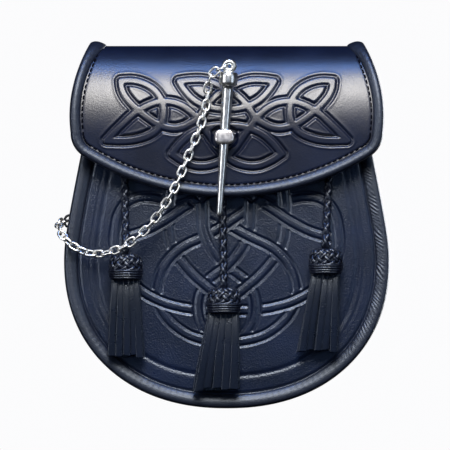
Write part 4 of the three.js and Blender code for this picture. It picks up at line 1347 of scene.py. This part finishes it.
make_piece("peg_turned", *peg_mesh, peg_silver, "fitting_metal", ["peg"])

# %% Stud
STUD_CORNER = 3.0
STUD_EDGE = 1.1
HEAD_DEPTH = 8.0
stud_low, stud_high = (np.array(c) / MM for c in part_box("stud"))
print("stud across in mm:", round(float(stud_high[0] - stud_low[0]), 1))


def rounded_block(low, high, corner, edge):
    """A block with rounded corners from the front and soft edges, as rings from front to back."""
    mid_x, mid_z = (low[0] + high[0]) / 2, (low[2] + high[2]) / 2
    half_x, half_z = (high[0] - low[0]) / 2, (high[2] - low[2]) / 2
    rings = []
    levels = [(edge * 1.6, 0.0), (edge * 0.7, edge * 0.12), (edge * 0.2, edge * 0.45), (0, edge),
              (0, HEAD_DEPTH), (1.4, HEAD_DEPTH + 0.6), (1.4, high[1] - low[1])]
    for inset, depth in levels:
        ring = []
        radius = max(0.6, corner - inset)
        for k in range(48):
            a = 2 * math.pi * k / 48
            sx, sz = np.sign(math.cos(a)), np.sign(math.sin(a))
            ring.append((mid_x + sx * (half_x - inset - radius) + radius * math.cos(a), low[1] + depth,
                         mid_z + sz * (half_z - inset - radius) + radius * math.sin(a)))
        rings.append(ring)
    return swept(rings)


make_piece("stud_cast", *rounded_block(stud_low, stud_high, STUD_CORNER, STUD_EDGE), stud_silver,
           "fitting_metal", ["stud"])

# %% [markdown]
# ## The studio
# The main light is one soft panel in front and above, which makes the bright band across the bend
# of the flap. A cooler one higher up tints the top, two tall ones light the sides, a wide weak one
# fills in from the camera's side, and one behind lights the back. The floor is a wide pale disc
# under a world as pale, so the ground is an even tone. Neither shows in the leather's shine, which
# keeps the black deep.

# %% Floor
STUDIO_WHITE = (0.97, 0.97, 0.98, 1)
FLOOR_Z = -0.3
FLOOR_R = 3.6
FLOOR_SIDES = 64
floor_material, floor_tree, floor_shader = new_finish("pale_floor")
floor_cloud = texture(floor_tree, "ShaderNodeTexNoise", 3.0)
floor_stops = [(0.3, (0.9, 0.9, 0.9)), (0.7, (0.94, 0.94, 0.94))]
floor_colour = ramp(floor_tree, floor_cloud.outputs["Fac"], floor_stops)
floor_tree.links.new(floor_colour.outputs["Color"], floor_shader.inputs["Base Color"])
floor_shader.inputs["Roughness"].default_value = 0.9
floor_shader.inputs["Emission Color"].default_value = STUDIO_WHITE
floor_shader.inputs["Emission Strength"].default_value = 0.6
rim = [(FLOOR_R * math.cos(a), FLOOR_R * math.sin(a), FLOOR_Z) for a in full_turn(FLOOR_SIDES)]
floor_points = [(0, 0, FLOOR_Z)] + rim
floor_faces = [(0, 1 + k, 1 + (k + 1) % FLOOR_SIDES) for k in range(FLOOR_SIDES)]
floor_mesh = bpy.data.meshes.new("floor")
floor_mesh.from_pydata(floor_points, [], floor_faces)
floor_mesh.materials.append(floor_material)
floor = bpy.data.objects.new("floor", floor_mesh)
bpy.context.scene.collection.objects.link(floor)
floor.visible_glossy = False
floor.visible_diffuse = False
print("floor at z in m:", FLOOR_Z)

# %% Lights


def panel_light(name, place, target, size, power, colour, spread_angle):
    """A rectangular area light at a place, turned to face a target."""
    data = bpy.data.lights.new(name, "AREA")
    data.shape = "RECTANGLE"
    data.size, data.size_y = size
    data.energy = power
    data.color = colour
    data.spread = math.radians(spread_angle)
    light = bpy.data.objects.new(name, data)
    light.location = place
    way = np.asarray(target, float) - np.asarray(place, float)
    light.rotation_euler = (math.atan2(math.hypot(way[0], way[1]), -way[2]), 0,
                            math.atan2(way[1], way[0]) - math.pi / 2)
    light.visible_camera = False
    bpy.context.scene.collection.objects.link(light)


panel_light("front_panel_light", (0.0, -1.08, 0.9), (0, -0.03, -0.03), (0.65, 0.65), 15.0,
            (1.0, 0.97, 0.93), 120)
panel_light("high_cool_light", (0.0, -0.56, 1.2), (0, 0, 0), (0.7, 0.2), 3.0, (0.14, 0.36, 1.0), 100)
panel_light("left_light", (-1.3, -1.1, 0.15), (0, 0, -0.06), (0.35, 1.2), 3.7, (0.9, 0.93, 1.0), 100)
panel_light("right_light", (1.3, -1.1, 0.15), (0, 0, -0.06), (0.35, 1.2), 1.6, (0.7, 0.82, 1.0), 100)
panel_light("camera_side_light", (0.0, -2.4, 0.1), (0, 0, -0.05), (1.6, 1.2), 0.9, (0.42, 0.62, 1.0), 120)
panel_light("rear_light", (1.2, 1.25, 0.05), (0, 0, -0.06), (1.0, 0.9), 9, (0.95, 0.97, 1.0), 100)
print("lights:", len(bpy.data.lights))

# %% World
world = bpy.data.worlds.new("studio")
bpy.context.scene.world = world
world.use_nodes = True
background = world.node_tree.nodes["Background"]
background.inputs["Color"].default_value = STUDIO_WHITE
background.inputs["Strength"].default_value = 1.0
world.cycles_visibility.glossy = False
world.cycles_visibility.diffuse = False
bpy.context.scene.view_settings.view_transform = "Standard"
